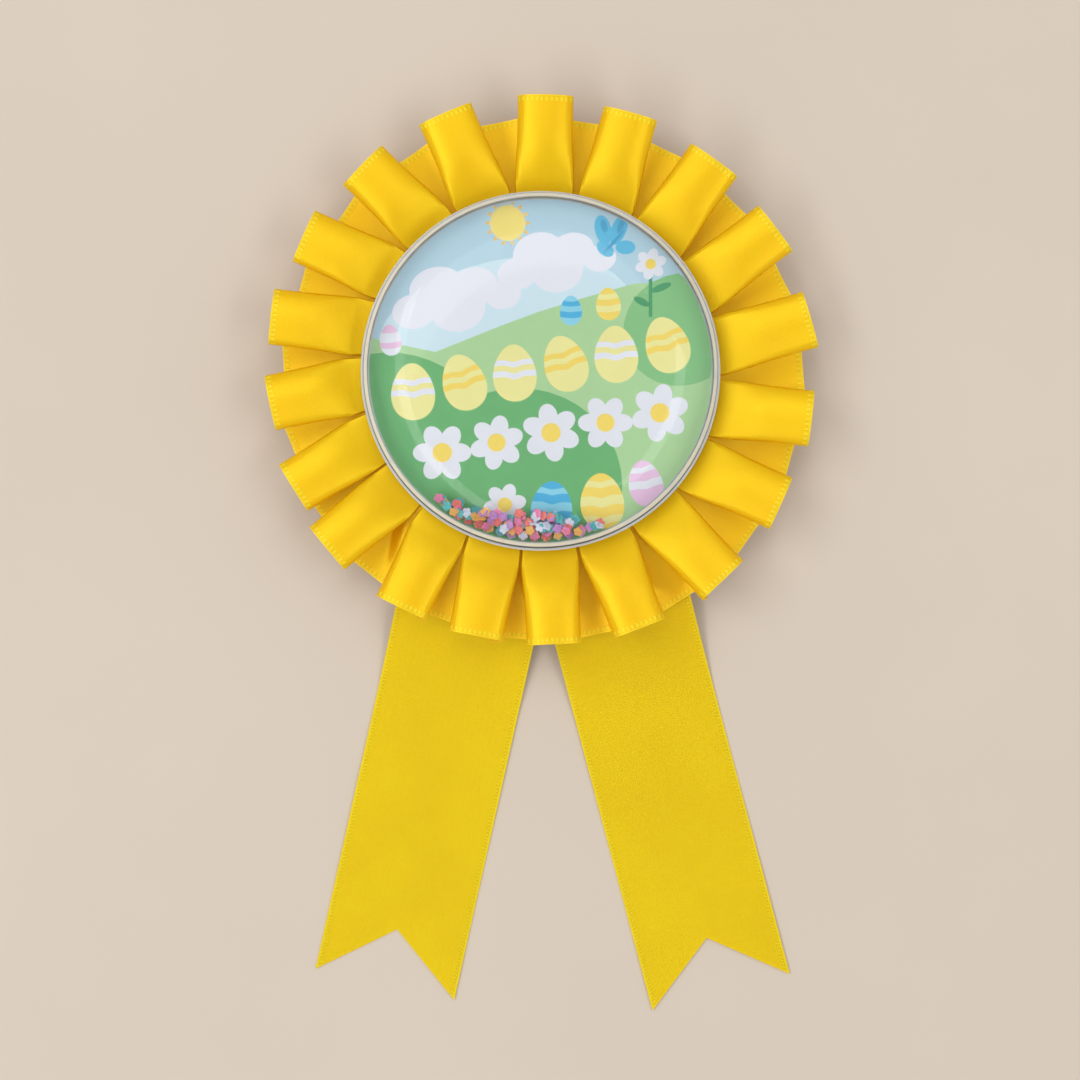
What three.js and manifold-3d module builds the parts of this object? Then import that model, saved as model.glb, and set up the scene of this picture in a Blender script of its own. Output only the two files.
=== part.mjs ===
// An award rosette: a box-pleated satin frill behind a clear domed badge with loose flower confetti in it,
// two swallow-tailed ribbon tails, and a card disc with a brooch pin on the back.
// It lies face up on a table at z = 0. Millimetres, +Z up, +Y towards the top of the rosette.
// The origin is the middle of its footprint on the table; ROSETTE_Y puts the rosette's own axis.
import * as THREE from "three";
import { mergeVertices } from "three/addons/utils/BufferGeometryUtils.js";
import Module from "manifold-3d";

const wasm = await Module();
wasm.setup();

const DEG = Math.PI / 180;
const ROUND = 48; // segments in a large circle
const SMALL_ROUND = 20; // segments in a small pin or hole

// ---- driving dimensions ----
const ROSETTE_Y = 32.3;
const RIBBON_WIDTH = 25;
const RIBBON_THICKNESS = 0.35;
const GLUE_GAP = 0.1; // a film of glue between stacked flat pieces

const PLEATS = 19;
const PLEAT_WIDTH = 10.2; // a front panel, and a back panel
const PLEAT_DEPTH = 5.1; // the layer folded under between a front and a back panel
const FRILL_RADIUS = 47.2; // outer edge of the front panels
const FRILL_FLAT_WIDTH = 24.6; // the ribbon's width as seen from above, where it slopes
const FIRST_PLEAT = 1.1; // degrees clockwise from the top
const CROWDING = 4; // degrees that the pleats are crowded towards the lower left
const CROWDING_PHASE = 40;
// How far each hand-made pleat leans from the radial direction, in degrees, clockwise from the top one.
const PLEAT_TILT = [0, -6, -6, -9, -8, -5, -7, -4, 0, 0, -4, -7, 0, -10, -8, -8, -9, -8, -5];
const FOLD_AT_RIM = 0.55; // half the length of ribbon that bends in a fold, where the badge presses it
const FOLD_AT_EDGE = 1.7; // and at the loose outer edge
const BOW_AT_RIM = 1; // degrees that a panel's side tips down at the rim
const BOW_AT_EDGE = 23; // and at the outer edge
const CROWN_LENGTH = 9; // of pleat, outwards from the rim, in which the bow comes in
const SETBACK = 1.9; // how much nearer the centre a back panel's edge lies than a front panel's
const SETBACK_SWING = 1.1; // more at the top of the rosette, less at the bottom

const BADGE_RADIUS = 30.8;
const WALL_RADIUS = 30.2; // outside of the dome's upright wall
const DOME_WALL = 0.8;
const DOME_RISE = 5.4; // of the curved cap above the upright wall
const CHAMBER_WALL = 2.6; // height of the upright wall above the print
const FLANGE = 0.8; // thickness of the dome's flange, and of the back's
const BACK_PLATE = 1.5;
const SNAP_GAP = 0.2; // between the dome's wall and the back plate that snaps into it
const PRINT_THICKNESS = 0.3;

const CARD_RADIUS = 27.5;
const CARD_THICKNESS = 1.5;
const FOAM_RADIUS = 18;
const THREAD_RING = 26;
const THREAD_RADIUS = 0.2;

// Each tail: the angle from straight down, the shift of its middle line from the rosette's axis, its length
// from the axis to the two tips, and which way it lies in the stack.
const TAILS = {
  left: { angle: -12.6, shift: -3.35, reach: 110.5, layer: 0 },
  right: { angle: 14.9, shift: 2.8, reach: 113, layer: 1 },
};
const TAIL_TOP = -12; // the glued end, above the rosette's axis
const NOTCH = 9.9;
const DROP_START = 27.5; // where a tail leaves the card, and
const DROP_END = 62; // where it lies on the table
const PARTING = 39.5; // where the two tails no longer lie on each other
const FLEX_AT = 50.5; // the line that a tail lifts about, just outside the frill
const FLEX_GAP = 0.4;

const BAR_Y = 12; // the brooch bar, above the rosette's axis
const BAR_LENGTH = 30;
const BAR_WIDTH = 5;
const BAR_THICKNESS = 0.7;
const BAR_HOLE = 0.8;
const TAPE_THICKNESS = 0.6;
const WIRE_Z = 2; // the pin wire's axis, above the table
const WIRE_RADIUS = 0.45;
const HINGE_X = -12;
const CATCH_X = 12;
const TIP_X = 15.6;
const TIP_LENGTH = 2.4;
const RIVET_RADIUS = 0.5;
const RUNNING_GAP = 0.08;
const EYE_RADIUS = 1.25;
const EYE_THICKNESS = 1;
const EAR_THICKNESS = 0.6;
const EAR_LENGTH = 3.4;
const EAR_INSIDE = 0.75; // from the bar's middle line to an ear's inner face
const RIVET_HEAD = 0.35;
const SLOT = 1.3; // the gap that the wire leaves the catch by
const JOURNAL_RADIUS = 1.15;
const BARREL_RADIUS = 1.6;
const BORE_RADIUS = 0.75;
const CHEEK_RADIUS = 1.85;
const CHEEK_THICKNESS = 0.7;
const BARREL_LENGTH = 1.4;
const TAB_REACH = 3.2;
const TAB_THICKNESS = 0.5;

const PETALS = 5;
const PETAL_REACH = 0.52; // from a flower's middle to the middle of a round petal
const PETAL_RADIUS = 0.37;
const CONFETTI_THICKNESS = 0.4;
const CONFETTI_PITCH = 1.95;
const CONFETTI_LAYER = 0.8;
const CONFETTI_TILT = 9;
const HEAP_ANGLE = 188; // degrees clockwise from the top: where the heap lies
const HEAP_ROWS = [
  { radius: 28.2, layer: 0, count: 12 },
  { radius: 26.3, layer: 0, count: 9 },
  { radius: 28.1, layer: 1, count: 8 },
  { radius: 26.4, layer: 1, count: 4 },
  { radius: 27.3, layer: 2, count: 3 },
];

// ---- the stack of layers, from the table up ----
const BAR_BOTTOM = WIRE_Z + CHEEK_RADIUS;
const TAPE_BOTTOM = BAR_BOTTOM + BAR_THICKNESS + GLUE_GAP;
const CARD_BOTTOM = TAPE_BOTTOM + TAPE_THICKNESS + GLUE_GAP;
const CARD_TOP = CARD_BOTTOM + CARD_THICKNESS;
const TAIL_STEP = RIBBON_THICKNESS + GLUE_GAP;
const FOAM_BOTTOM = CARD_TOP + GLUE_GAP + 2 * TAIL_STEP;
const FRILL_MIDDLE = FOAM_BOTTOM + 1.25;
const THREAD_Z = FRILL_MIDDLE + 1.25;
const BADGE_BOTTOM = FRILL_MIDDLE + 1.6;
const PRINT_BOTTOM = BADGE_BOTTOM + BACK_PLATE + GLUE_GAP;
const PRINT_TOP = PRINT_BOTTOM + PRINT_THICKNESS;
const WALL_TOP = PRINT_TOP + CHAMBER_WALL;

// ---- materials ----
const material = (color, roughness, metalness = 0, extra = {}) =>
  new THREE.MeshStandardMaterial({ color, roughness, metalness, ...extra });
const satin = material(0xf5cc10, 0.4);
const clearPlastic = material(0xf4f8fa, 0.05, 0, { transparent: true, opacity: 0.25 });
const print = material(0x9ccf9a, 0.6);
const card = material(0xf1efe9, 0.85);
const foam = material(0xf7f7f4, 0.95);
const thread = material(0xf2c711, 0.8);
const steel = material(0xc9cbce, 0.3, 1);
const CONFETTI_COLOURS = [0xee82ac, 0xf07870, 0xf8b85c, 0x56bcc0, 0xca8ed2, 0xdee2f6];
const confettiColours = CONFETTI_COLOURS.map((c) => material(c, 0.45));

// ---- helpers ----
const rosette = new THREE.Group();
rosette.position.y = ROSETTE_Y;

function add(name, geometry, look, parent = rosette) {
  const mesh = new THREE.Mesh(geometry, look);
  mesh.name = name;
  parent.add(mesh);
  return mesh;
}

// A closed geometry as a manifold-3d solid, for joining and cutting.
function solid(geometry) {
  const bare = geometry.index ? geometry.toNonIndexed() : geometry.clone();
  bare.deleteAttribute("normal");
  bare.deleteAttribute("uv");
  const merged = mergeVertices(bare, 1e-4);
  return new wasm.Manifold(
    new wasm.Mesh({
      numProp: 3,
      vertProperties: merged.attributes.position.array,
      triVerts: new Uint32Array(merged.index.array),
    }),
  );
}

function geometryOf(made) {
  const mesh = made.getMesh();
  const geometry = new THREE.BufferGeometry();
  geometry.setAttribute("position", new THREE.BufferAttribute(mesh.vertProperties, 3));
  geometry.setIndex(new THREE.BufferAttribute(mesh.triVerts, 1));
  return geometry;
}

const joined = (...parts) => parts.map(solid).reduce((all, one) => all.add(one));
const cut = (made, ...tools) => tools.map(solid).reduce((left, tool) => left.subtract(tool), made);

const box = (sx, sy, sz, x, y, z) => new THREE.BoxGeometry(sx, sy, sz).translate(x, y, z);

// Cylinders along the three axes, centred on the given point.
function rod(axis, radius, length, x, y, z, segments = SMALL_ROUND) {
  const geometry = new THREE.CylinderGeometry(radius, radius, length, segments);
  if (axis === "x") geometry.rotateZ(-Math.PI / 2);
  if (axis === "z") geometry.rotateX(Math.PI / 2);
  return geometry.translate(x, y, z);
}

// A solid of revolution about +Z from [radius, height] points that start and end on the axis.
function turned(points, segments = ROUND) {
  const profile = points.map(([r, z]) => new THREE.Vector2(r, z));
  return new THREE.LatheGeometry(profile, segments).rotateX(Math.PI / 2);
}

const disc = (radius, bottom, top) =>
  turned([
    [0, bottom],
    [radius, bottom],
    [radius, top],
    [0, top],
  ]);

const smooth = (t) => {
  const u = Math.min(1, Math.max(0, t));
  return u * u * (3 - 2 * u);
};

// A point at an angle clockwise from the top.
const clockwise = (angle, radius) =>
  new THREE.Vector2(Math.sin(angle * DEG) * radius, Math.cos(angle * DEG) * radius);

// ---- the pleated frill ----
// Along the ribbon a pleat is a front panel, a layer folded under, a back panel and a layer folded back up.
// HALF is from the middle of a front panel to the middle of the next back panel; the rest mirrors it.
const HALF = PLEAT_WIDTH + PLEAT_DEPTH;
const FOLDS = [PLEAT_WIDTH / 2, PLEAT_WIDTH / 2 + PLEAT_DEPTH];
const MEETING_RADIUS = (PLEATS * PLEAT_WIDTH) / (2 * Math.PI); // where front panels touch edge to edge

// The slope of the ribbon at length s from a front panel's middle, in a section across the pleats.
function slope(s, turn, fold, bow) {
  const under = smooth((s - FOLDS[0]) / (2 * fold) + 0.5);
  const over = smooth((s - FOLDS[1]) / (2 * fold) + 0.5);
  const front = -bow * (s / FOLDS[0]) * (1 - under);
  const back = -bow * ((HALF - s) / (HALF - FOLDS[1])) * over;
  return -turn * (under - over) + front + back;
}

// The half pleat's section: how far along and how far down the ribbon is at each of the stations.
function section(turn, fold, bow, stations) {
  const steps = 120;
  const points = [];
  let along = 0;
  let down = 0;
  let next = 0;
  for (let i = 0; i <= steps; i++) {
    const s = (HALF * i) / steps;
    while (next < stations.length && stations[next] <= s + 1e-9) {
      points.push({ along, down, slope: slope(stations[next], turn, fold, bow) });
      next++;
    }
    const middle = slope(s + HALF / steps / 2, turn, fold, bow);
    along += (Math.cos(middle) * HALF) / steps;
    down -= (Math.sin(middle) * HALF) / steps;
  }
  return points;
}

// The ribbon can't stretch, so its folds turn by whatever lets half a pleat fill the room it has.
function turnFor(room, fold, bow) {
  let low = 0;
  let high = 1.2 * Math.PI;
  for (let i = 0; i < 30; i++) {
    const turn = (low + high) / 2;
    if (section(turn, fold, bow, [HALF])[0].along > room) low = turn;
    else high = turn;
  }
  return (low + high) / 2;
}

// The middle line of a panel in plan: where it is at a radius, and the direction across it.
function panel(angle, tilt) {
  const foot = clockwise(angle, MEETING_RADIUS);
  const outward = clockwise(angle + tilt, 1);
  return {
    at: (radius) => foot.clone().addScaledVector(outward, radius - MEETING_RADIUS),
    across: new THREE.Vector2(outward.y, -outward.x),
  };
}

const pleatAngle = (i) => {
  const even = FIRST_PLEAT + (360 / PLEATS) * i;
  return even + CROWDING * (Math.sin((even - CROWDING_PHASE) * DEG) + Math.sin(CROWDING_PHASE * DEG));
};
const pleatTilt = (i) => PLEAT_TILT[((i % PLEATS) + PLEATS) % PLEATS];

// One row of the frill at one radius: its points all round the rosette, and which way its top faces.
function frillRow(frontRadius, stations) {
  const outwards = smooth((frontRadius - MEETING_RADIUS) / (FRILL_RADIUS - MEETING_RADIUS));
  const fold = FOLD_AT_RIM + (FOLD_AT_EDGE - FOLD_AT_RIM) * outwards;
  const crowned = smooth((frontRadius - MEETING_RADIUS) / CROWN_LENGTH);
  const bow = (BOW_AT_RIM + (BOW_AT_EDGE - BOW_AT_RIM) * crowned) * DEG;
  const row = [];
  for (let i = 0; i < PLEATS; i++) {
    const halves = [1, -1].map((side) => {
      const front = panel(pleatAngle(i), pleatTilt(i));
      const backAngle = (pleatAngle(i) + pleatAngle(i + side)) / 2;
      const back = panel(backAngle, (pleatTilt(i) + pleatTilt(i + side)) / 2);
      const setback = SETBACK + SETBACK_SWING * Math.cos((backAngle + 20) * DEG);
      const a = front.at(frontRadius);
      const b = back.at(frontRadius - setback);
      const gap = front.at(frontRadius - setback / 2).distanceTo(back.at(frontRadius - setback / 2));
      const room = Math.max(gap, PLEAT_WIDTH / 2);
      const squeeze = gap / room;
      const points = section(turnFor(room, fold, bow), fold, bow, stations);
      const depth = section(turnFor(room, fold, bow), fold, bow, [HALF])[0].down;
      return points.map((p, n) => {
        const share = smooth((stations[n] - FOLDS[0]) / PLEAT_DEPTH);
        const across = front.across.clone().lerp(back.across, share).normalize();
        const near = a.clone().addScaledVector(front.across, side * p.along * squeeze);
        const far = b.clone().addScaledVector(back.across, side * (p.along - room) * squeeze);
        const plan = near.lerp(far, share);
        const tip = across.multiplyScalar(-side * Math.sin(p.slope));
        return {
          at: new THREE.Vector3(plan.x, plan.y, FRILL_MIDDLE + depth / 2 - p.down),
          up: new THREE.Vector3(tip.x, tip.y, Math.cos(p.slope)),
        };
      });
    });
    row.push(...halves[1].slice(1).reverse(), ...halves[0].slice(0, -1));
  }
  return row;
}

// A closed band of ribbon, made from rows of points that each go once round the rosette.
function bandGeometry(rows) {
  const columns = rows[0].length;
  const faces = [0.5, -0.5].map((side) =>
    rows.map((row) => row.map((p) => p.at.clone().addScaledVector(p.up, side * RIBBON_THICKNESS))),
  );
  const points = faces.flat(2);
  const index = (face, r, c) => (face * rows.length + r) * columns + (c % columns);
  const triangles = [];
  const quad = (a, b, c, d) => triangles.push(a, c, b, a, d, c);
  const last = rows.length - 1;
  for (let c = 0; c < columns; c++) {
    for (let r = 0; r < last; r++) {
      quad(index(0, r, c), index(0, r + 1, c), index(0, r + 1, c + 1), index(0, r, c + 1));
      quad(index(1, r, c), index(1, r, c + 1), index(1, r + 1, c + 1), index(1, r + 1, c));
    }
    quad(index(0, 0, c), index(0, 0, c + 1), index(1, 0, c + 1), index(1, 0, c));
    quad(index(0, last, c), index(1, last, c), index(1, last, c + 1), index(0, last, c + 1));
  }
  const geometry = new THREE.BufferGeometry().setFromPoints(points);
  geometry.setIndex(triangles);
  return geometry;
}

function frillGeometry() {
  const around = [-1, 0, 1];
  const stations = [0, ...FOLDS.flatMap((f) => around.map((n) => f + n * FOLD_AT_EDGE)), HALF];
  const radii = [FRILL_RADIUS - FRILL_FLAT_WIDTH, MEETING_RADIUS, FRILL_RADIUS];
  return bandGeometry(radii.map((radius) => frillRow(radius, stations)));
}

// ---- the tails ----
// A tail's own frame runs down it: x across, y from the rosette's axis towards the tips (so -y in plan).
function tailHeight(along, layer) {
  const drop = 1 - smooth((along - DROP_START) / (DROP_END - DROP_START));
  const parting = 1 - smooth((along - PARTING) / (DROP_END - PARTING));
  return (CARD_TOP + GLUE_GAP) * drop + layer * TAIL_STEP * parting;
}

// The stretch of one tail between two places along it, as a ribbon seen from the side and made wide.
function tailGeometry({ layer, reach }, start, end) {
  const shares = [0.12, 0.25, 0.4, 0.6, 0.75, 0.88, 1];
  const drops = shares.map((t) => DROP_START + t * (DROP_END - DROP_START));
  const stations = new Set([start, DROP_START, ...drops, end]);
  const places = [...stations].filter((p) => p >= start && p <= end);
  const under = places.map((p) => new THREE.Vector2(p, tailHeight(p, layer)));
  const over = places.map((p) => new THREE.Vector2(p, tailHeight(p, layer) + RIBBON_THICKNESS));
  const side = new THREE.Shape([...under, ...over.reverse()]);
  const ribbon = new THREE.ExtrudeGeometry(side, { depth: RIBBON_WIDTH, bevelEnabled: false });
  // side view (along, height, width) to the tail's frame (x = width, -y = along, z = height)
  const turn = new THREE.Matrix4().set(0, 0, -1, RIBBON_WIDTH / 2, -1, 0, 0, 0, 0, 1, 0, 0, 0, 0, 0, 1);
  ribbon.applyMatrix4(turn);
  if (end < reach) return ribbon;
  const notch = new THREE.Shape([
    new THREE.Vector2(-RIBBON_WIDTH / 2 - 0.5, -reach - 0.4),
    new THREE.Vector2(RIBBON_WIDTH / 2 + 0.5, -reach - 0.4),
    new THREE.Vector2(0, -reach + NOTCH),
  ]);
  const cutter = new THREE.ExtrudeGeometry(notch, { depth: 4, bevelEnabled: false }).translate(0, 0, -1);
  return geometryOf(cut(solid(ribbon), cutter));
}

function addTail(name, tail) {
  const frame = new THREE.Group();
  frame.rotation.z = tail.angle * DEG;
  rosette.add(frame);
  const shifted = new THREE.Group();
  shifted.position.x = tail.shift;
  frame.add(shifted);
  add(`${name}_tail_anchor`, tailGeometry(tail, TAIL_TOP, FLEX_AT - FLEX_GAP / 2), satin, shifted);
  add(`${name}_tail`, tailGeometry(tail, FLEX_AT + FLEX_GAP / 2, tail.reach), satin, shifted);
}

// ---- the badge ----
// The cap is flat in the middle and curves down to the top of the wall.
function capPoints(radius, foot, rise, count) {
  return Array.from({ length: count + 1 }, (_, i) => {
    const t = (i / count) * 90 * DEG;
    return [radius * Math.cos(t), foot + rise * (1 - Math.cos(t) ** 8)];
  });
}

function domeGeometry() {
  const inside = WALL_RADIUS - DOME_WALL;
  const flangeBottom = BADGE_BOTTOM + FLANGE + GLUE_GAP;
  const outer = capPoints(WALL_RADIUS, WALL_TOP, DOME_RISE, 9);
  const inner = capPoints(inside, WALL_TOP, DOME_RISE - DOME_WALL, 7);
  outer[outer.length - 1][0] = 0;
  inner[inner.length - 1][0] = 0;
  return turned([
    ...inner.reverse(),
    [inside, flangeBottom],
    [BADGE_RADIUS, flangeBottom],
    [BADGE_RADIUS, flangeBottom + FLANGE],
    [WALL_RADIUS, flangeBottom + FLANGE],
    ...outer,
  ]);
}

function badgeBackGeometry() {
  const plug = WALL_RADIUS - DOME_WALL - SNAP_GAP;
  return turned([
    [0, BADGE_BOTTOM],
    [BADGE_RADIUS, BADGE_BOTTOM],
    [BADGE_RADIUS, BADGE_BOTTOM + FLANGE],
    [plug, BADGE_BOTTOM + FLANGE],
    [plug, BADGE_BOTTOM + BACK_PLATE],
    [0, BADGE_BOTTOM + BACK_PLATE],
  ]);
}

// ---- the confetti ----
function flowerGeometry() {
  const perPetal = 6;
  const outline = Array.from({ length: PETALS * perPetal }, (_, i) => {
    const t = (i / (PETALS * perPetal)) * 2 * Math.PI;
    const turn = ((i + perPetal / 2) % perPetal) / perPetal - 0.5;
    const fromPetal = (turn * 2 * Math.PI) / PETALS;
    const sideways = PETAL_REACH * Math.sin(fromPetal);
    const r = PETAL_REACH * Math.cos(fromPetal) + Math.sqrt(PETAL_RADIUS ** 2 - sideways ** 2);
    return new THREE.Vector2(r * Math.cos(t), r * Math.sin(t));
  });
  const shape = new THREE.Shape(outline);
  return new THREE.ExtrudeGeometry(shape, { depth: CONFETTI_THICKNESS, bevelEnabled: false }).translate(
    0,
    0,
    -CONFETTI_THICKNESS / 2,
  );
}

// A heap against the chamber's wall, in layers of rows; each flower is turned and tipped its own way.
function addConfetti() {
  const flower = flowerGeometry();
  const bottom = PRINT_TOP + 0.5; // clear of the print when a flower is tipped
  const turnStep = 137.5; // degrees, so that no two neighbours are turned alike
  let n = 0;
  for (const { radius, layer, count } of HEAP_ROWS) {
    const step = CONFETTI_PITCH / radius / DEG;
    for (let i = 0; i < count; i++) {
      n++;
      const angle = HEAP_ANGLE + (i - (count - 1) / 2) * step;
      const place = clockwise(angle, radius);
      const colour = confettiColours[(n * 5) % confettiColours.length];
      const mesh = add(`confetti_${String(n).padStart(2, "0")}`, flower, colour);
      mesh.position.set(place.x, place.y, bottom + layer * CONFETTI_LAYER);
      mesh.rotation.set(
        CONFETTI_TILT * DEG * Math.sin(n * turnStep * DEG),
        CONFETTI_TILT * DEG * Math.cos(n * turnStep * DEG),
        n * turnStep * DEG,
      );
    }
  }
}

// ---- the brooch pin ----
function barPlate(length, width, thickness, bottom, holes) {
  const end = length / 2 - width / 2;
  const outline = new THREE.Shape();
  outline.absarc(end, 0, width / 2, -90 * DEG, 90 * DEG, false);
  outline.absarc(-end, 0, width / 2, 90 * DEG, 270 * DEG, false);
  for (const x of holes) {
    outline.holes.push(new THREE.Path().absarc(x, 0, BAR_HOLE, 0, 2 * Math.PI, true));
  }
  const shape = { depth: thickness, bevelEnabled: false, curveSegments: 8 };
  return new THREE.ExtrudeGeometry(outline, shape).translate(0, 0, bottom);
}

// The plate, two ears that hold the rivet, and two cheeks that hold the turning catch.
function barGeometry() {
  const height = BAR_BOTTOM + 0.2;
  const ears = [1, -1].map((side) =>
    box(EAR_LENGTH, EAR_THICKNESS, height, HINGE_X, side * (EAR_INSIDE + EAR_THICKNESS / 2), height / 2),
  );
  const cheekX = BARREL_LENGTH / 2 + RUNNING_GAP + CHEEK_THICKNESS / 2;
  const cheeks = [1, -1].flatMap((side) => {
    const x = CATCH_X + side * cheekX;
    return [
      rod("x", CHEEK_RADIUS, CHEEK_THICKNESS, x, 0, WIRE_Z),
      box(CHEEK_THICKNESS, 2 * CHEEK_RADIUS, height - WIRE_Z, x, 0, (height + WIRE_Z) / 2),
    ];
  });
  const span = 2 * cheekX + 2;
  return geometryOf(
    cut(
      joined(barPlate(BAR_LENGTH, BAR_WIDTH, BAR_THICKNESS, BAR_BOTTOM, [-5, 5]), ...ears, ...cheeks),
      rod("y", RIVET_RADIUS + RUNNING_GAP, 6, HINGE_X, 0, WIRE_Z),
      rod("x", JOURNAL_RADIUS + RUNNING_GAP, span, CATCH_X, 0, WIRE_Z),
      box(span, SLOT, WIRE_Z + 1, CATCH_X, 0, (WIRE_Z - 1) / 2),
    ),
  );
}

function rivetGeometry() {
  const outside = EAR_INSIDE + EAR_THICKNESS + 0.05;
  const heads = [1, -1].map((side) =>
    rod("y", RIVET_RADIUS + 0.45, RIVET_HEAD, HINGE_X, side * (outside + RIVET_HEAD / 2), WIRE_Z),
  );
  return geometryOf(joined(rod("y", RIVET_RADIUS, 2 * outside + RIVET_HEAD, HINGE_X, 0, WIRE_Z), ...heads));
}

// The wire with its flat eye round the rivet and its sharpened tip through the catch.
function wireGeometry() {
  const shank = TIP_X - TIP_LENGTH - HINGE_X;
  const tip = new THREE.CylinderGeometry(0.06, WIRE_RADIUS, TIP_LENGTH, 12).rotateZ(-Math.PI / 2);
  tip.translate(TIP_X - TIP_LENGTH / 2, 0, WIRE_Z);
  const wire = joined(
    rod("y", EYE_RADIUS, EYE_THICKNESS, HINGE_X, 0, WIRE_Z),
    rod("x", WIRE_RADIUS, shank, HINGE_X + shank / 2, 0, WIRE_Z, 12),
    tip,
  );
  return geometryOf(cut(wire, rod("y", RIVET_RADIUS + RUNNING_GAP, 4, HINGE_X, 0, WIRE_Z)));
}

// The turning catch: a barrel between two journals, slotted for the wire, with a thumb tab.
function catchGeometry() {
  const journals = BARREL_LENGTH + 2 * (RUNNING_GAP + CHEEK_THICKNESS);
  const tab = TAB_REACH - BORE_RADIUS - 0.3;
  return geometryOf(
    cut(
      joined(
        rod("x", JOURNAL_RADIUS, journals, CATCH_X, 0, WIRE_Z),
        rod("x", BARREL_RADIUS, BARREL_LENGTH, CATCH_X, 0, WIRE_Z),
        box(BARREL_LENGTH, tab, TAB_THICKNESS, CATCH_X, TAB_REACH - tab / 2, WIRE_Z),
      ),
      rod("x", BORE_RADIUS, journals + 1, CATCH_X, 0, WIRE_Z),
      box(journals + 1, SLOT, WIRE_Z + 1, CATCH_X, 0, (WIRE_Z - 1) / 2),
    ),
  );
}

// ---- assembly ----
const pin = new THREE.Group();
pin.position.y = BAR_Y;
rosette.add(pin);
add("pin_bar", barGeometry(), steel, pin);
add("pin_rivet", rivetGeometry(), steel, pin);
add("pin_wire", wireGeometry(), steel, pin);
add("catch_barrel", catchGeometry(), steel, pin);
add("bar_tape", barPlate(BAR_LENGTH - 1, BAR_WIDTH - 1, TAPE_THICKNESS, TAPE_BOTTOM, []), foam, pin);

add("backing_card", disc(CARD_RADIUS, CARD_BOTTOM, CARD_TOP), card);
addTail("left", TAILS.left);
addTail("right", TAILS.right);
add("foam_pad", disc(FOAM_RADIUS, FOAM_BOTTOM, BADGE_BOTTOM - GLUE_GAP), foam);
add("pleated_frill", frillGeometry(), satin);
const ring = new THREE.TorusGeometry(THREAD_RING, THREAD_RADIUS, 6, ROUND);
add("gathering_thread", ring.translate(0, 0, THREAD_Z), thread);

add("badge_back", badgeBackGeometry(), clearPlastic);
add("printed_insert", disc(WALL_RADIUS - DOME_WALL - SNAP_GAP, PRINT_BOTTOM, PRINT_TOP), print);
add("dome_cover", domeGeometry(), clearPlastic);
addConfetti();

const part = new THREE.Group();
part.add(rosette);
export default part;
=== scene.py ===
"""An award rosette lying face up on a pale table: a box-pleated satin frill round a clear domed badge with
loose flower confetti, two swallow-cut ribbon tails, and a card disc with a brooch pin behind.
Shapes are worked out in millimetres and written to Blender in metres."""

import math
import random

import bmesh
import bpy
import numpy as np
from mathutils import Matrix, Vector
from mathutils.geometry import delaunay_2d_cdt


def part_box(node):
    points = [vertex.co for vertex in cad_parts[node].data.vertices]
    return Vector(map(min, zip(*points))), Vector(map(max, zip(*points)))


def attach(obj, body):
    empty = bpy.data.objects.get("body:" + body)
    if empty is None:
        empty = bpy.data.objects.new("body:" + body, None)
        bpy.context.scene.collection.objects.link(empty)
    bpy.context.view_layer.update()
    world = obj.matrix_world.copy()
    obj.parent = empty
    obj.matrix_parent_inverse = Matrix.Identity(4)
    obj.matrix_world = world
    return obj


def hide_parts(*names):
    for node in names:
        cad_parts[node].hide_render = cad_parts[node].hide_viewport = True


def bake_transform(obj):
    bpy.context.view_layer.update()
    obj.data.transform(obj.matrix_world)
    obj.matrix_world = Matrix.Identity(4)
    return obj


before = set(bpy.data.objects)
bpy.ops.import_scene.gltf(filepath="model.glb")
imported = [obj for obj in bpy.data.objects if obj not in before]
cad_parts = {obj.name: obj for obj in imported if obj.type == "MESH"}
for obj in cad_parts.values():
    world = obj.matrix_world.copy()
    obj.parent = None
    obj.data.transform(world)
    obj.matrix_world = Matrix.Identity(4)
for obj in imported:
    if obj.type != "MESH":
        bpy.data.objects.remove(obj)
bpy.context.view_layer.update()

MM = 0.001


def box_mm(node):
    """A CAD node's lowest and highest corners, in millimetres."""
    low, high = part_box(node)
    return np.array(low) / MM, np.array(high) / MM


def smooth(t):
    u = np.clip(t, 0, 1)
    return u * u * (3 - 2 * u)


# ---- sizes, in millimetres
BADGE_LOW, BADGE_HIGH = box_mm("badge_back")
AXIS_Y = (BADGE_LOW[1] + BADGE_HIGH[1]) / 2  # the rosette's own axis; its x is 0

RIBBON_WIDTH = 25
RIBBON_THICKNESS = 0.3
PLEATS = 19
PLEAT_WIDTH = 10.2  # of a front panel, and of a back panel
PLEAT_DEPTH = 5.1  # folded under between the two
FRILL_RADIUS = 47.2
FRILL_FLAT_WIDTH = 24.6  # the sloping ribbon's width, seen from above
FIRST_PLEAT = 1.1  # degrees clockwise from the top
CROWDING = 4  # degrees, towards the lower left
CROWDING_PHASE = 40  # where the pleats stand widest apart
# How far each pleat leans from the radial direction, in degrees, clockwise from the top one.
PLEAT_TILT = [0, -6, -6, -9, -8, -5, -7, -4, 0, 0, -4, -7, 0, -10, -8, -8, -9, -8, -5]
FOLD_AT_RIM = 0.55  # half the length of ribbon that bends in a fold
FOLD_AT_EDGE = 1.7
BOW_AT_RIM = 1  # degrees that a panel's side tips down
BOW_AT_EDGE = 23
CROWN_LENGTH = 9  # of pleat, outwards from MEETING_RADIUS, in which the bow comes in
SETBACK = 1.9  # of a back panel's edge, inwards from the front panels'
SETBACK_SWING = 1.1  # more at 20 degrees left of the top, less opposite
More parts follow.
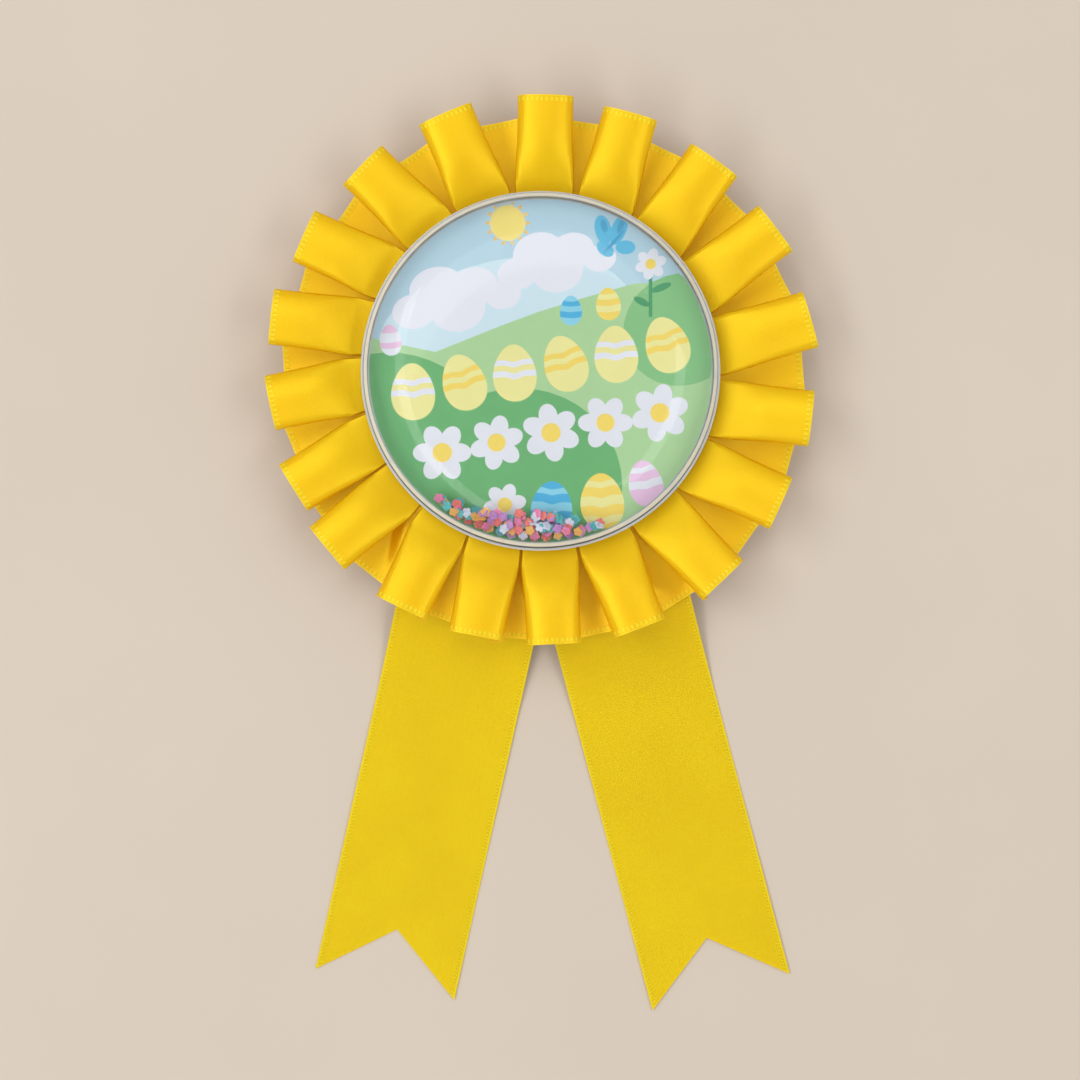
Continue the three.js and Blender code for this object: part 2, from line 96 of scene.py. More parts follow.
# Pleats whose folded layer shows past the front panel: which side, and how far.
PEEKING = {(0, -1): 1.0, (17, -1): 1.3, (7, 1): 1.2, (5, 1): 0.9, (10, -1): 0.8, (11, -1): 0.9, (13, 1): 0.7}
HALF = PLEAT_WIDTH + PLEAT_DEPTH  # from a front panel's middle to the next back panel's
FOLDS = [PLEAT_WIDTH / 2, PLEAT_WIDTH / 2 + PLEAT_DEPTH]
MEETING_RADIUS = PLEATS * PLEAT_WIDTH / (2 * math.pi)  # where front panels touch edge to edge

# Each tail: the angle from straight down, the shift of its middle line from the rosette's axis, its length
# from the axis to the two tips, and its layer in the stack, counted from below.
TAILS = {
    "left": {"angle": -12.6, "shift": -3.35, "reach": 110.5, "layer": 0},
    "right": {"angle": 14.9, "shift": 2.8, "reach": 113, "layer": 1},
}
TAIL_TOP = -12  # the glued end, above the rosette's axis
NOTCH = 9.9  # depth of the swallow cut
DROP_START = 27.5  # where a tail leaves the card, and
DROP_END = 62  # where it lies on the table
PARTING = 39.5  # where the two tails no longer lie on each other
FLEX_AT = 50.5  # the line that a tail lifts about, just outside the frill
GLUE_GAP = 0.1
TAIL_STEP = 0.45  # from one tail to the other where they lie on each other
RESTING_GAP = 0.1  # between the frill and a tail that it rests on
RESTING_MARGIN = 1.5  # beside a tail, the frill stays up for one margin and comes down over the next

WARP_PITCH = 0.33  # between the ribbon's lengthwise threads
WEFT_PITCH = 0.36  # and its crosswise ones
RIB_PITCH = 1.1

PETAL_REACH = 0.52  # from a flower's middle to a petal's
PETAL_RADIUS = 0.37
CONFETTI_THICKNESS = 0.4


# ---- materials
def linear(red, green, blue):
    """An sRGB colour of 0 to 255 numbers as linear RGBA."""
    channels = [c / 255 for c in (red, green, blue)]
    return [c / 12.92 if c <= 0.04045 else ((c + 0.055) / 1.055) ** 2.4 for c in channels] + [1.0]


class Look:
    """A material being built: short calls that add nodes and link them."""

    def __init__(self, name, **values):
        self.material = bpy.data.materials.new(name)
        self.material.use_nodes = True
        self.tree = self.material.node_tree
        self.shader = self.tree.nodes["Principled BSDF"]
        self.output = self.tree.nodes["Material Output"]
        self.set(**values)

    def set(self, **values):
        for name, value in values.items():
            self.shader.inputs[name.replace("_", " ")].default_value = value

    def link(self, source, target):
        self.tree.links.new(source, target)

    def feed(self, source, name):
        self.link(source, self.shader.inputs[name])

    def add(self, kind, inputs=None, **settings):
        node = self.tree.nodes.new(kind)
        for name, value in settings.items():
            setattr(node, name, value)
        for name, value in (inputs or {}).items():
            if isinstance(value, bpy.types.NodeSocket):
                self.link(value, node.inputs[name])
            else:
                node.inputs[name].default_value = value
        return node

    def math(self, operation, a, b=0.0):
        return self.add("ShaderNodeMath", {0: a, 1: b}, operation=operation).outputs[0]

    def mix(self, factor, a, b):
        return self.add("ShaderNodeMix", {0: factor, 6: a, 7: b}, data_type="RGBA").outputs[2]

    def tint(self, tone, where, share, colour):
        """A tone mixed with a share of a colour, as far as where says."""
        return self.mix(self.math("MULTIPLY", where, share), tone, colour)

    def ramp(self, value, low, high, start=0.0, end=1.0):
        inputs = {0: value, 1: low, 2: high, 3: start, 4: end}
        return self.add("ShaderNodeMapRange", inputs, interpolation_type="SMOOTHSTEP").outputs[0]

    def position(self):
        return self.add("ShaderNodeTexCoord").outputs["Object"]

    def uv(self):
        split = self.add("ShaderNodeSeparateXYZ", {0: self.add("ShaderNodeTexCoord").outputs["UV"]})
        return split.outputs[0], split.outputs[1]

    def noise(self, scale, detail=2.0, vector=None, roughness=0.5):
        inputs = {"Scale": scale, "Detail": detail, "Roughness": roughness}
        inputs["Vector"] = vector or self.position()
        return self.add("ShaderNodeTexNoise", inputs).outputs["Fac"]

    def wave(self, along, pitch):
        """A smooth wave of 0 to 1 with one crest in each pitch."""
        turns = self.math("MULTIPLY", along, 2 * math.pi / pitch)
        return self.math("MULTIPLY_ADD", self.math("SINE", turns), 0.5)

    def bump(self, height, depth, strength=1.0, under=None):
        inputs = {"Height": height, "Distance": depth * MM, "Strength": strength}
        if under is not None:
            inputs["Normal"] = under
        return self.add("ShaderNodeBump", inputs).outputs["Normal"]


def satin(name, colour, shade, roughness, anisotropic, weave, band, pitch, stitch_tone, gap_shade_tone):
    """Woven satin ribbon with u along it and v across it, in millimetres: fine threads both ways with a
    painted sheen on their crests, faint ribs, a woven band of stitches just inside each edge with painted
    shade between the stitches, a plain cord on the edge, and a slow unevenness."""
    look = Look(name, Roughness=roughness, Anisotropic=anisotropic, Anisotropic_Rotation=0.25)
    look.set(Sheen_Weight=0.06, Sheen_Roughness=0.4, Sheen_Tint=linear(255, 222, 40))
    look.set(IOR=3.0, Specular_Tint=linear(255, 226, 62))
    look.set(Subsurface_Weight=0.45, Subsurface_Radius=(1.0, 0.75, 0.1), Subsurface_Scale=2 * MM)
    u, v = look.uv()
    inwards = look.math("MINIMUM", v, look.math("SUBTRACT", RIBBON_WIDTH, v))
    start, end = band
    past_start = look.ramp(inwards, start, start + 0.12)
    before_end = look.ramp(inwards, end, end + 0.15, 1, 0)
    inside = look.math("MULTIPLY", past_start, before_end)
    cord = look.ramp(inwards, start - 0.1, start, 1.0, 0.0)
    warp = look.wave(v, WARP_PITCH)
    weft = look.wave(u, WEFT_PITCH)
    rib = look.wave(v, RIB_PITCH)
    stitch = look.ramp(look.wave(u, pitch), 0.3, 0.7)
    thread = look.math("MULTIPLY", warp, weft)
    tone = look.mix(look.ramp(look.noise(60.0, 3.0), 0.3, 0.7), linear(*colour), linear(*shade))
    # the threads' crests are tinted a paler yellow: painted sheen
    tone = look.tint(tone, thread, 0.16, linear(255, 232, 90))
    tone = look.tint(tone, rib, 0.10, linear(*gap_shade_tone))
    tone = look.tint(tone, look.noise(1500.0, 2.0), 0.10, linear(*shade))
    tone = look.tint(tone, cord, 0.35, linear(*stitch_tone))
    # the gaps between the stitches take a darker tone: painted shade
    dash = look.mix(stitch, linear(*gap_shade_tone), linear(*stitch_tone))
    look.feed(look.tint(tone, inside, 0.7, dash), "Base Color")
    relief = look.bump(thread, weave)
    relief = look.bump(look.math("MULTIPLY", stitch, inside), 0.05, under=relief)
    look.feed(look.bump(look.noise(220.0, 3.0), 0.05, 0.6, under=relief), "Normal")
    tangent = look.add("ShaderNodeTangent", direction_type="UV_MAP")
    look.feed(tangent.outputs[0], "Tangent")
    return look.material


FRILL_SATIN = satin(
    "frill_satin", colour=(250, 186, 0), shade=(250, 179, 0), roughness=0.38, anisotropic=0.7, weave=0.012,
    band=(0.28, 1.0), pitch=0.85, stitch_tone=(255, 224, 66), gap_shade_tone=(240, 190, 0),
)
TAIL_SATIN = satin(
    "tail_satin", colour=(234, 190, 0), shade=(226, 180, 0), roughness=0.6, anisotropic=0.3, weave=0.03,
    band=(0.4, 0.85), pitch=0.62, stitch_tone=(248, 220, 40), gap_shade_tone=(220, 178, 2),
)


def thread_look():
    look = Look("selvedge_thread", Roughness=0.45, Sheen_Weight=0.3)
    tone = look.mix(look.noise(700.0, 3.0), linear(252, 214, 40), linear(240, 196, 10))
    look.feed(tone, "Base Color")
    look.feed(look.bump(look.noise(4000.0, 2.0), 0.03), "Normal")
    return look.material


def clear_look():
    """Clear polished plastic that casts only a light shadow, so that the print under it stays bright."""
    look = Look("clear_plastic", Base_Color=linear(250, 252, 253), Transmission_Weight=1.0)
    look.set(Roughness=0.07, IOR=1.26, Specular_IOR_Level=0.14)
    look.feed(look.bump(look.noise(60.0, 2.0), 0.02), "Normal")
    shadow = look.add("ShaderNodeLightPath").outputs["Is Shadow Ray"]
    through = look.add("ShaderNodeBsdfTransparent", {0: (0.56, 0.565, 0.57, 1.0)}).outputs[0]
    mixed = look.add("ShaderNodeMixShader", {0: shadow, 1: look.shader.outputs[0], 2: through})
    look.link(mixed.outputs[0], look.output.inputs["Surface"])
    return look.material


def clear_edge_look(name, colour, other, clearness):
    """The badge's rim in two tones: a pale one where the thick plastic looks milkier than the thin dome,
    partly a painted highlight of the flange's reflection, and a dark one that is painted shade in the groove
    beside the flange.
    """
    look = Look(name, Roughness=0.12, IOR=1.46, Transmission_Weight=clearness)
    haze = look.noise(300.0, 3.0)
    look.feed(look.mix(haze, linear(*colour), linear(*other)), "Base Color")
    look.feed(look.bump(haze, 0.01), "Normal")
    return look.material


def plain(name, colour, other, roughness, grain, depth, **values):
    """A surface with a fine grain: two close tones mixed by noise, with the same noise in relief."""
    look = Look(name, Roughness=roughness, **values)
    speckle = look.noise(grain, 4.0, roughness=0.65)
    look.feed(look.mix(look.ramp(speckle, 0.3, 0.7), linear(*colour), linear(*other)), "Base Color")
    look.feed(look.bump(speckle, depth), "Normal")
    return look.material


def metal(name, colour, roughness):
    look = Look(name, Metallic=1.0)
    scratches = look.noise(900.0, 4.0, roughness=0.7)
    look.feed(look.mix(scratches, linear(*colour), linear(*[0.93 * c for c in colour])), "Base Color")
    look.feed(look.ramp(scratches, 0.3, 0.7, roughness * 0.8, roughness * 1.3), "Roughness")
    look.feed(look.bump(scratches, 0.004), "Normal")
    return look.material


def ink(name, colour):
    """Ink on coated paper: a faint mottle in the colour and in relief."""
    look = Look(name, Roughness=0.5)
    mottle = look.noise(500.0, 3.0)
    darker = linear(*[0.85 * c for c in colour])
    look.feed(look.tint(linear(*colour), mottle, 0.1, darker), "Base Color")
    look.feed(look.bump(mottle, 0.004), "Normal")
    return look.material


INKS = {
    "sky": (176, 208, 224),
    "haze": (203, 226, 237),
    "cloud": (228, 229, 240),
    "sun": (245, 222, 118),
    "ray": (243, 196, 84),
    "light_green": (168, 208, 150),
    "mid_green": (128, 190, 126),
    "green": (98, 174, 106),
    "leaf": (62, 150, 96),
    "yellow": (237, 229, 150),
    "gold": (244, 214, 92),
    "white": (226, 227, 236),
    "pink": (230, 190, 222),
    "rose": (240, 160, 205),
    "blue": (60, 172, 220),
    "pale_blue": (132, 206, 230),
    "butterfly": (86, 184, 222),
    "wing": (64, 160, 206),
}
CONFETTI = {
    "pink": (238, 130, 172),
    "coral": (240, 120, 112),
    "orange": (248, 184, 92),
    "teal": (86, 188, 192),
    "lilac": (202, 142, 210),
    "ice": (222, 226, 246),
}
INK = {name: ink(f"ink_{name}", colour) for name, colour in INKS.items()}
FLECK = {
    name: plain(f"fleck_{name}", colour, [0.9 * c for c in colour], 0.4, 2200.0, 0.03, Sheen_Weight=0.2)
    for name, colour in CONFETTI.items()
}
THREAD = thread_look()
CLEAR = clear_look()
# a pale milky tone, partly a painted highlight standing in for the flange's reflection
MILKY_EDGE_AND_HIGHLIGHT = clear_edge_look("milky_edge_and_painted_highlight", (244, 248, 250), (228, 233, 234), 0.35)
# a dark tone for the groove beside the flange: painted shade
GROOVE_PAINTED_SHADE = clear_edge_look("groove_painted_shade", (136, 138, 126), (112, 114, 100), 0.3)
CARD = plain("card", (238, 236, 229), (226, 222, 212), 0.85, 1400.0, 0.03)
FOAM = plain("foam", (246, 245, 240), (228, 227, 220), 0.95, 2600.0, 0.15)
STEEL = metal("nickel", (214, 216, 220), 0.24)


# ---- mesh helpers
def in_scene(name, data):
    made = bpy.data.objects.new(name, data)
    bpy.context.scene.collection.objects.link(made)
    return made


def mesh_object(name, points, faces, materials, body, replaces=(), sharp=35):
    """A piece from points in millimetres. Edges sharper than the given angle stay crisp."""
    mesh = bpy.data.meshes.new(name)
    mesh.from_pydata([tuple(float(c) * MM for c in p) for p in points], [], faces)
    finish_mesh(mesh, sharp)
    return add_piece(name, mesh, materials, body, replaces)


def add_piece(name, mesh, materials, body, replaces=()):
    """A mesh in the scene, with the CAD nodes it replaces and the body it rides on."""
    made = in_scene(name, mesh)
    for material in materials:
        mesh.materials.append(material)
    if replaces:
        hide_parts(*replaces)
    if body:
        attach(made, body)
    return made


def finish_mesh(mesh, sharp):
    work = bmesh.new()
    work.from_mesh(mesh)
    for face in work.faces:
        face.smooth = True
    for edge in work.edges:
        if len(edge.link_faces) == 2:
            edge.smooth = edge.calc_face_angle(0.0) < math.radians(sharp)
    work.to_mesh(mesh)
    work.free()


def ribbon_solid(grid, closed):
    """Points, faces and (row, column) of every face corner for a ribbon whose middle surface is grid, an
    array of rows across the ribbon by columns along it. A closed one joins its last column to its first."""
    rows, columns = grid.shape[:2]
    if closed:
        along = np.roll(grid, -1, 1) - np.roll(grid, 1, 1)
    else:
        along = np.gradient(grid, axis=1)
    normal = np.cross(np.gradient(grid, axis=0), along)
    normal /= np.linalg.norm(normal, axis=2, keepdims=True)
    if normal[..., 2].mean() < 0:
        normal = -normal
    sides = [grid + normal * (RIBBON_THICKNESS / 2), grid - normal * (RIBBON_THICKNESS / 2)]
    points = np.concatenate([side.reshape(-1, 3) for side in sides])
    faces = []
    corners = []

    def quad(*places):
        faces.append([side * rows * columns + r * columns + c % columns for side, r, c in places])
        corners.extend((r, c) for _, r, c in places)

    last = columns if closed else columns - 1
    for c in range(last):
        for r in range(rows - 1):
            quad((0, r, c), (0, r, c + 1), (0, r + 1, c + 1), (0, r + 1, c))
            quad((1, r, c), (1, r + 1, c), (1, r + 1, c + 1), (1, r, c + 1))
        quad((0, 0, c), (1, 0, c), (1, 0, c + 1), (0, 0, c + 1))
        quad((0, rows - 1, c), (0, rows - 1, c + 1), (1, rows - 1, c + 1), (1, rows - 1, c))
    if not closed:
        for r in range(rows - 1):
            quad((0, r, 0), (0, r + 1, 0), (1, r + 1, 0), (1, r, 0))
            quad((0, r, last), (1, r, last), (1, r + 1, last), (0, r + 1, last))
    return points, faces, corners


def signed_volume(points, faces):
    p = np.array([[points[i] for i in face[:3]] for face in faces])
    q = np.array([[points[face[i]] for i in (0, 2, 3)] for face in faces if len(face) == 4])
    tetrahedra = np.concatenate([p, q])
    sides = np.cross(tetrahedra[:, 1], tetrahedra[:, 2])
    return float(np.einsum("ij,ij->i", tetrahedra[:, 0], sides).sum())


def ribbon_object(name, grid, u, v, closed, material, body, replaces):
    """A satin ribbon. u and v give each column's and row's place on the flat ribbon."""
    points, faces, corners = ribbon_solid(grid, closed)
    if signed_volume(points, faces) < 0:
        order = []
        start = 0
        for face in faces:
            order.extend(reversed(range(start, start + len(face))))
            face.reverse()
            start += len(face)
        corners = [corners[i] for i in order]
    made = mesh_object(name, points, faces, [material], body, replaces, sharp=60)
    layer = made.data.uv_layers.new(name="UVMap")
    places = np.array([(u[c], v[r]) for r, c in corners], np.float32)
    layer.data.foreach_set("uv", places.ravel())
    return made


def lathe(profile, segments, centre=(0.0, AXIS_Y)):
    """Points and faces of a solid of revolution. Profile points on the axis become single points."""
    x0, y0 = centre
    points = []
    rings = []
    for radius, z in profile:
        if radius < 1e-9:
            rings.append([len(points)])
            points.append((x0, y0, z))
            continue
        rings.append(list(range(len(points), len(points) + segments)))
        for k in range(segments):
            t = 2 * math.pi * k / segments
            points.append((x0 + radius * math.cos(t), y0 + radius * math.sin(t), z))
    faces = []
    pairs = list(zip(rings, rings[1:]))
    if len(rings[0]) > 1 and len(rings[-1]) > 1:
        pairs.append((rings[-1], rings[0]))
    for a, b in pairs:
        for k in range(segments):
            n = (k + 1) % segments
            if len(a) == 1:
                faces.append([a[0], b[n], b[k]])
            elif len(b) == 1:
                faces.append([a[k], a[n], b[0]])
            else:
                faces.append([a[k], a[n], b[n], b[k]])
    return points, faces


def rounded(corners, radius, steps=5):
    """A profile whose inner corners are rounded. The first and last points stay."""
    out = [corners[0]]
    for before, here, after in zip(corners, corners[1:], corners[2:]):
        p, q, r = (np.array(x, float) for x in (before, here, after))
        cut = min(radius, np.linalg.norm(q - p) * 0.45, np.linalg.norm(r - q) * 0.45)
        start = q + (p - q) / np.linalg.norm(p - q) * cut
        end = q + (r - q) / np.linalg.norm(r - q) * cut
        for k in range(steps + 1):
            t = k / steps
            point = (1 - t) ** 2 * start + 2 * t * (1 - t) * q + t**2 * end
            out.append(tuple(point))
    out.append(corners[-1])
    return out


# ---- the pleated frill
FRILL_LOW, FRILL_HIGH = box_mm("pleated_frill")
FRILL_MIDDLE = (FRILL_LOW[2] + FRILL_HIGH[2]) / 2
STATIONS = 32
SUBSTEPS = 5
FRILL_ROWS = 26


def clockwise(angle, radius):
    """A point at an angle in degrees clockwise from the top."""
    return np.array([math.sin(math.radians(angle)), math.cos(math.radians(angle))]) * radius


def slope(s, turn, fold, bow):
    """The ribbon's slope at length s from the middle of a front panel, in a section across the pleats."""
    under = smooth((s - FOLDS[0]) / (2 * fold) + 0.5)
    over = smooth((s - FOLDS[1]) / (2 * fold) + 0.5)
    front = -bow * (s / FOLDS[0]) * (1 - under)
    back = -bow * ((HALF - s) / (HALF - FOLDS[1])) * over
    return -turn * (under - over) + front + back


def section(turn, fold, bow):
    """How far along and how far down the ribbon is at each station of half a pleat."""
    step = HALF / (STATIONS * SUBSTEPS)
    middles = (np.arange(STATIONS * SUBSTEPS) + 0.5) * step
    angles = slope(middles, turn, fold, bow)
    along = np.concatenate([[0], np.cumsum(np.cos(angles) * step)])[::SUBSTEPS]
    down = np.concatenate([[0], np.cumsum(-np.sin(angles) * step)])[::SUBSTEPS]
    return along, down


def turn_for(room, fold, bow):
    """The ribbon can't stretch, so its folds turn by whatever lets half a pleat fill the room it has."""
    low, high = 0.0, 1.2 * math.pi
    for _ in range(24):
        turn = (low + high) / 2
        if section(turn, fold, bow)[0][-1] > room:
            low = turn
        else:
            high = turn
    return (low + high) / 2


def pleat_angle(i):
    even = FIRST_PLEAT + 360 / PLEATS * i
    phase = math.radians(CROWDING_PHASE)
    return even + CROWDING * (math.sin(math.radians(even) - phase) + math.sin(phase))


class Panel:
    """A front or back panel's middle line in plan."""

    def __init__(self, angle, tilt):
        self.foot = clockwise(angle, MEETING_RADIUS)
        self.outward = clockwise(angle + tilt, 1)
        self.across = np.array([self.outward[1], -self.outward[0]])

    def at(self, radius):
        return self.foot + self.outward * (radius - MEETING_RADIUS)


def pleat_habits():
    """How each hand-folded pleat differs from the next: its fold's softness, bow, height and reach."""
    dice = random.Random(19)
    return [
        {
            "fold": dice.uniform(0.85, 1.2),
            "bow": dice.uniform(0.8, 1.25),
            "lift": dice.uniform(-0.4, 0.5),
            "reach": dice.uniform(-0.5, 0.5),
        }
        for _ in range(PLEATS)
    ]


HABITS = pleat_habits()


def half_pleat(i, side, front_radius):
    """One half of pleat i at one radius: where its ribbon runs, before the heights are matched up."""
    habit = HABITS[i]
    outwards = float(smooth((front_radius - MEETING_RADIUS) / (FRILL_RADIUS - MEETING_RADIUS)))
    fold = FOLD_AT_RIM + (FOLD_AT_EDGE * habit["fold"] - FOLD_AT_RIM) * outwards
    crowned = float(smooth((front_radius - MEETING_RADIUS) / CROWN_LENGTH))
    bow = math.radians(BOW_AT_RIM + (BOW_AT_EDGE * habit["bow"] - BOW_AT_RIM) * crowned)
    j = (i + side) % PLEATS
    front = Panel(pleat_angle(i), PLEAT_TILT[i])
    back_angle = (pleat_angle(i) + pleat_angle(i + side)) / 2
    back = Panel(back_angle, (PLEAT_TILT[i] + PLEAT_TILT[j]) / 2)
    setback = SETBACK + SETBACK_SWING * math.cos(math.radians(back_angle + 20))
    a = front.at(front_radius + habit["reach"] * outwards)
    b = back.at(front_radius - setback)
    middle = front_radius - setback / 2
    gap = float(np.linalg.norm(front.at(middle) - back.at(middle)))
    room = max(gap, PLEAT_WIDTH / 2)
    along, down = section(turn_for(room, fold, bow), fold, bow)
    share = smooth((np.linspace(0, HALF, STATIONS + 1) - FOLDS[0]) / PLEAT_DEPTH)[:, None]
    squeeze = gap / room
    near = a + np.outer(along * side * squeeze, front.across)
    far = b + np.outer((along - room) * side * squeeze, back.across)
    plan = near + (far - near) * share
    hidden = np.sin(np.pi * share[:, 0]) * outwards * PEEKING.get((i, side), 0.0)
    plan = plan + np.outer(hidden, front.outward)
    return plan, down, habit["lift"] * outwards


CARD_TOP = box_mm("backing_card")[1][2]


def tail_height(along, layer):
    drop = 1 - smooth((along - DROP_START) / (DROP_END - DROP_START))
    parting = 1 - smooth((along - PARTING) / (DROP_END - PARTING))
    return (CARD_TOP + GLUE_GAP) * drop + layer * TAIL_STEP * parting + RIBBON_THICKNESS / 2


def kept_above_tails(points):
    """The frill's ribbon rests on a tail where it would otherwise sink into it."""
    x, y, height = points[:, 0], points[:, 1] - AXIS_Y, points[:, 2]
    for tail in TAILS.values():
        t = math.radians(tail["angle"])
        along = x * math.sin(t) - y * math.cos(t)
        across = np.abs(x * math.cos(t) + y * math.sin(t) - tail["shift"])
        resting = tail_height(along, tail["layer"]) + RIBBON_THICKNESS + RESTING_GAP
        beside = RIBBON_WIDTH / 2 + 2 * RESTING_MARGIN - across
        share = np.clip(beside / RESTING_MARGIN, 0, 1) * (along > 0)
        height = height + np.maximum(resting - height, 0) * share
    return np.column_stack([points[:, 0], points[:, 1], height])


def frill_row(front_radius):
    """The ribbon's points all round the rosette at one radius."""
    halves = {(i, side): half_pleat(i, side, front_radius) for i in range(PLEATS) for side in (-1, 1)}
    depth = {key: half[1][-1] for key, half in halves.items()}
    row = []
    for i in range(PLEATS):
        pieces = []
        for side in (-1, 1):
            plan, down, lift = halves[(i, side)]
            top = FRILL_MIDDLE + (depth[(i, -1)] + depth[(i, 1)]) / 4 + lift
            beyond = depth[((i + side) % PLEATS, -side)]
            bottom = FRILL_MIDDLE - (depth[(i, side)] + beyond) / 4
            height = top - down / depth[(i, side)] * (top - bottom)
            pieces.append(np.column_stack([plan[:, 0], plan[:, 1] + AXIS_Y, height]))
        row.extend(pieces[0][:0:-1])
        row.extend(pieces[1][:-1])
    return kept_above_tails(np.array(row))


def row_spacing(count):
    """Places across the ribbon from its inner edge, closer together near the outer edge."""
    t = np.linspace(0, 1, count)
    return 1 - (1 - t) ** 1.25


def build_frill():
    across = row_spacing(FRILL_ROWS)
    radii = FRILL_RADIUS - FRILL_FLAT_WIDTH * (1 - across)
    grid = np.array([frill_row(r) for r in radii])
    columns = grid.shape[1]
    u = np.arange(columns + 1) * (HALF / STATIONS)
    v = across * RIBBON_WIDTH
    made = ribbon_object("frill", grid, u, v, True, FRILL_SATIN, "rosette", ["pleated_frill"])


build_frill()


# ---- the tails
CUT_FROM = 0.55  # share of a tail's length, beyond which its cross lines bend to follow the cut
WAVE = 0.12  # half the height of a tail's slow waves, where it lies on the table
WAVE_START = 12  # the length of tail over which they begin


def tail_place(tail, across, along, height):
    """A point on a tail, from across it and along it, in the row frame."""
    t = math.radians(tail["angle"])
    x = (tail["shift"] + across) * math.cos(t) + along * math.sin(t)
    y = (tail["shift"] + across) * math.sin(t) - along * math.cos(t) + AXIS_Y
    return np.stack([x, y, height + 0 * x], -1)


def build_tail(side):
    """One tail, from its glued end to its swallow cut."""
    tail = TAILS[side]
    widths = np.linspace(-RIBBON_WIDTH / 2, RIBBON_WIDTH / 2, 31)
    t = np.linspace(0, 1, 131)
    length = tail["reach"] - TAIL_TOP
    cut = tail["reach"] - NOTCH + NOTCH * np.abs(widths) / (RIBBON_WIDTH / 2)
    share = smooth((t - CUT_FROM) / (1 - CUT_FROM))
    along = TAIL_TOP + length * t[None, :]
    along = along + (cut - tail["reach"])[:, None] * share[None, :]
    across = np.repeat(widths[:, None], len(t), 1)
    lying = smooth((along - FLEX_AT) / WAVE_START)
    wave = WAVE * np.sin(along / 9 + across / 14 + tail["layer"] * 2) + WAVE
    height = tail_height(along, tail["layer"]) + lying * wave
    grid = tail_place(tail, across, along, height)
    u = t * length
    name = f"{side}_tail_ribbon"
    nodes = [f"{side}_tail_anchor", f"{side}_tail"]
    made = ribbon_object(name, grid, u, widths + RIBBON_WIDTH / 2, False, TAIL_SATIN, None, nodes)
    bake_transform(made)


for tail_side in TAILS:
    build_tail(tail_side)


# ---- the badge
ROUND = 192
DOME_LOW, DOME_HIGH = box_mm("dome_cover")
INSERT_LOW, INSERT_HIGH = box_mm("printed_insert")
BADGE_RADIUS = (DOME_HIGH[0] - DOME_LOW[0]) / 2
WALL_RADIUS = 30.2  # outside of the dome's upright wall
DOME_WALL = 0.8
DOME_RISE = 5.4  # of the curved cap above the upright wall
CAP_FLATNESS = 8  # the higher, the flatter the cap's middle and the tighter its shoulder
FLANGE = 0.8
GROOVE = (30.18, 30.34)  # between the dome's wall and its flange
GROOVE_DEPTH = 0.5


def cap(radius, foot, rise, count):
    """A cap, flat in the middle, from the wall's top to the axis."""
    angles = np.linspace(0, math.pi / 2, count)
    points = [(radius * math.cos(t), foot + rise * (1 - math.cos(t) ** CAP_FLATNESS)) for t in angles]
    points[-1] = (0.0, foot + rise)
    return points


def build_dome():
    """The clear shell. Its rim and shoulder are milkier, partly a painted highlight, and the groove beside
    the flange has a dark painted shade.
    """
    inside = WALL_RADIUS - DOME_WALL
    top = DOME_HIGH[2]
    wall_top = top - DOME_RISE
    bottom = DOME_LOW[2]
    inner = cap(inside, wall_top, DOME_RISE - DOME_WALL, 40)[::-1]
    outer = cap(WALL_RADIUS, wall_top, DOME_RISE, 44)
    flange_top = bottom + FLANGE
    shoulder = rounded([outer[1], outer[0], (WALL_RADIUS, flange_top)], 0.35)[:-1]
    foot = rounded([inner[-1], (inside, bottom), (BADGE_RADIUS, bottom)], 0.1)[:-1]
    rim = [(BADGE_RADIUS, flange_top), (GROOVE[1], flange_top), (GROOVE[1], flange_top - GROOVE_DEPTH)]
    foot += rounded([(BADGE_RADIUS, bottom), *rim], 0.22)
    foot += [(WALL_RADIUS, flange_top - GROOVE_DEPTH)]
    points, faces = lathe(inner[:-1] + foot + shoulder[::-1] + outer[2:], ROUND)
    faces = [face[::-1] for face in faces]
    looks = [CLEAR, MILKY_EDGE_AND_HIGHLIGHT, GROOVE_PAINTED_SHADE]
    made = mesh_object("dome", points, faces, looks, "rosette", ["dome_cover"], 40)
    if signed_volume(points, faces) < 0:
        made.data.flip_normals()
    for face in made.data.polygons:
        place = face.center / MM
        r = math.hypot(place.x, place.y - AXIS_Y)
        # faces that take the milky tone, partly a painted highlight
        milky_and_highlit = r > WALL_RADIUS + 0.02 or (r > inside + 0.05 and place.z > wall_top - 0.3)
        # the groove's faces take the dark painted shade
        dark = milky_and_highlit and GROOVE[0] - 0.08 < r < GROOVE[1] + 0.04
        face.material_index = int(milky_and_highlit) + int(dark)


def disc(name, node, edge, material, radius=None, top=None):
    """A round plate with rounded edges in place of a CAD node, and as large unless told otherwise."""
    low, high = box_mm(node)
    radius = radius or (high[0] - low[0]) / 2
    top = top or high[2]
    profile = rounded([(0.0, low[2]), (radius, low[2]), (radius, top), (0.0, top)], edge)
    points, faces = lathe(profile, ROUND)
    made = mesh_object(name, points, faces, [material], "rosette", [node], 50)
    if signed_volume(points, faces) < 0:
        made.data.flip_normals()
    return made


build_dome()
PLATE_TOP = BADGE_HIGH[2] - 0.7  # the CAD's plate is raised by this in the middle, under the print
# the plate takes the rim's milky tone, partly a painted highlight
disc("badge_plate", "badge_back", 0.25, MILKY_EDGE_AND_HIGHLIGHT, BADGE_RADIUS, PLATE_TOP)
disc("card_disc", "backing_card", 0.2, CARD)
pad = disc("foam_disc", "foam_pad", 0.4, FOAM)


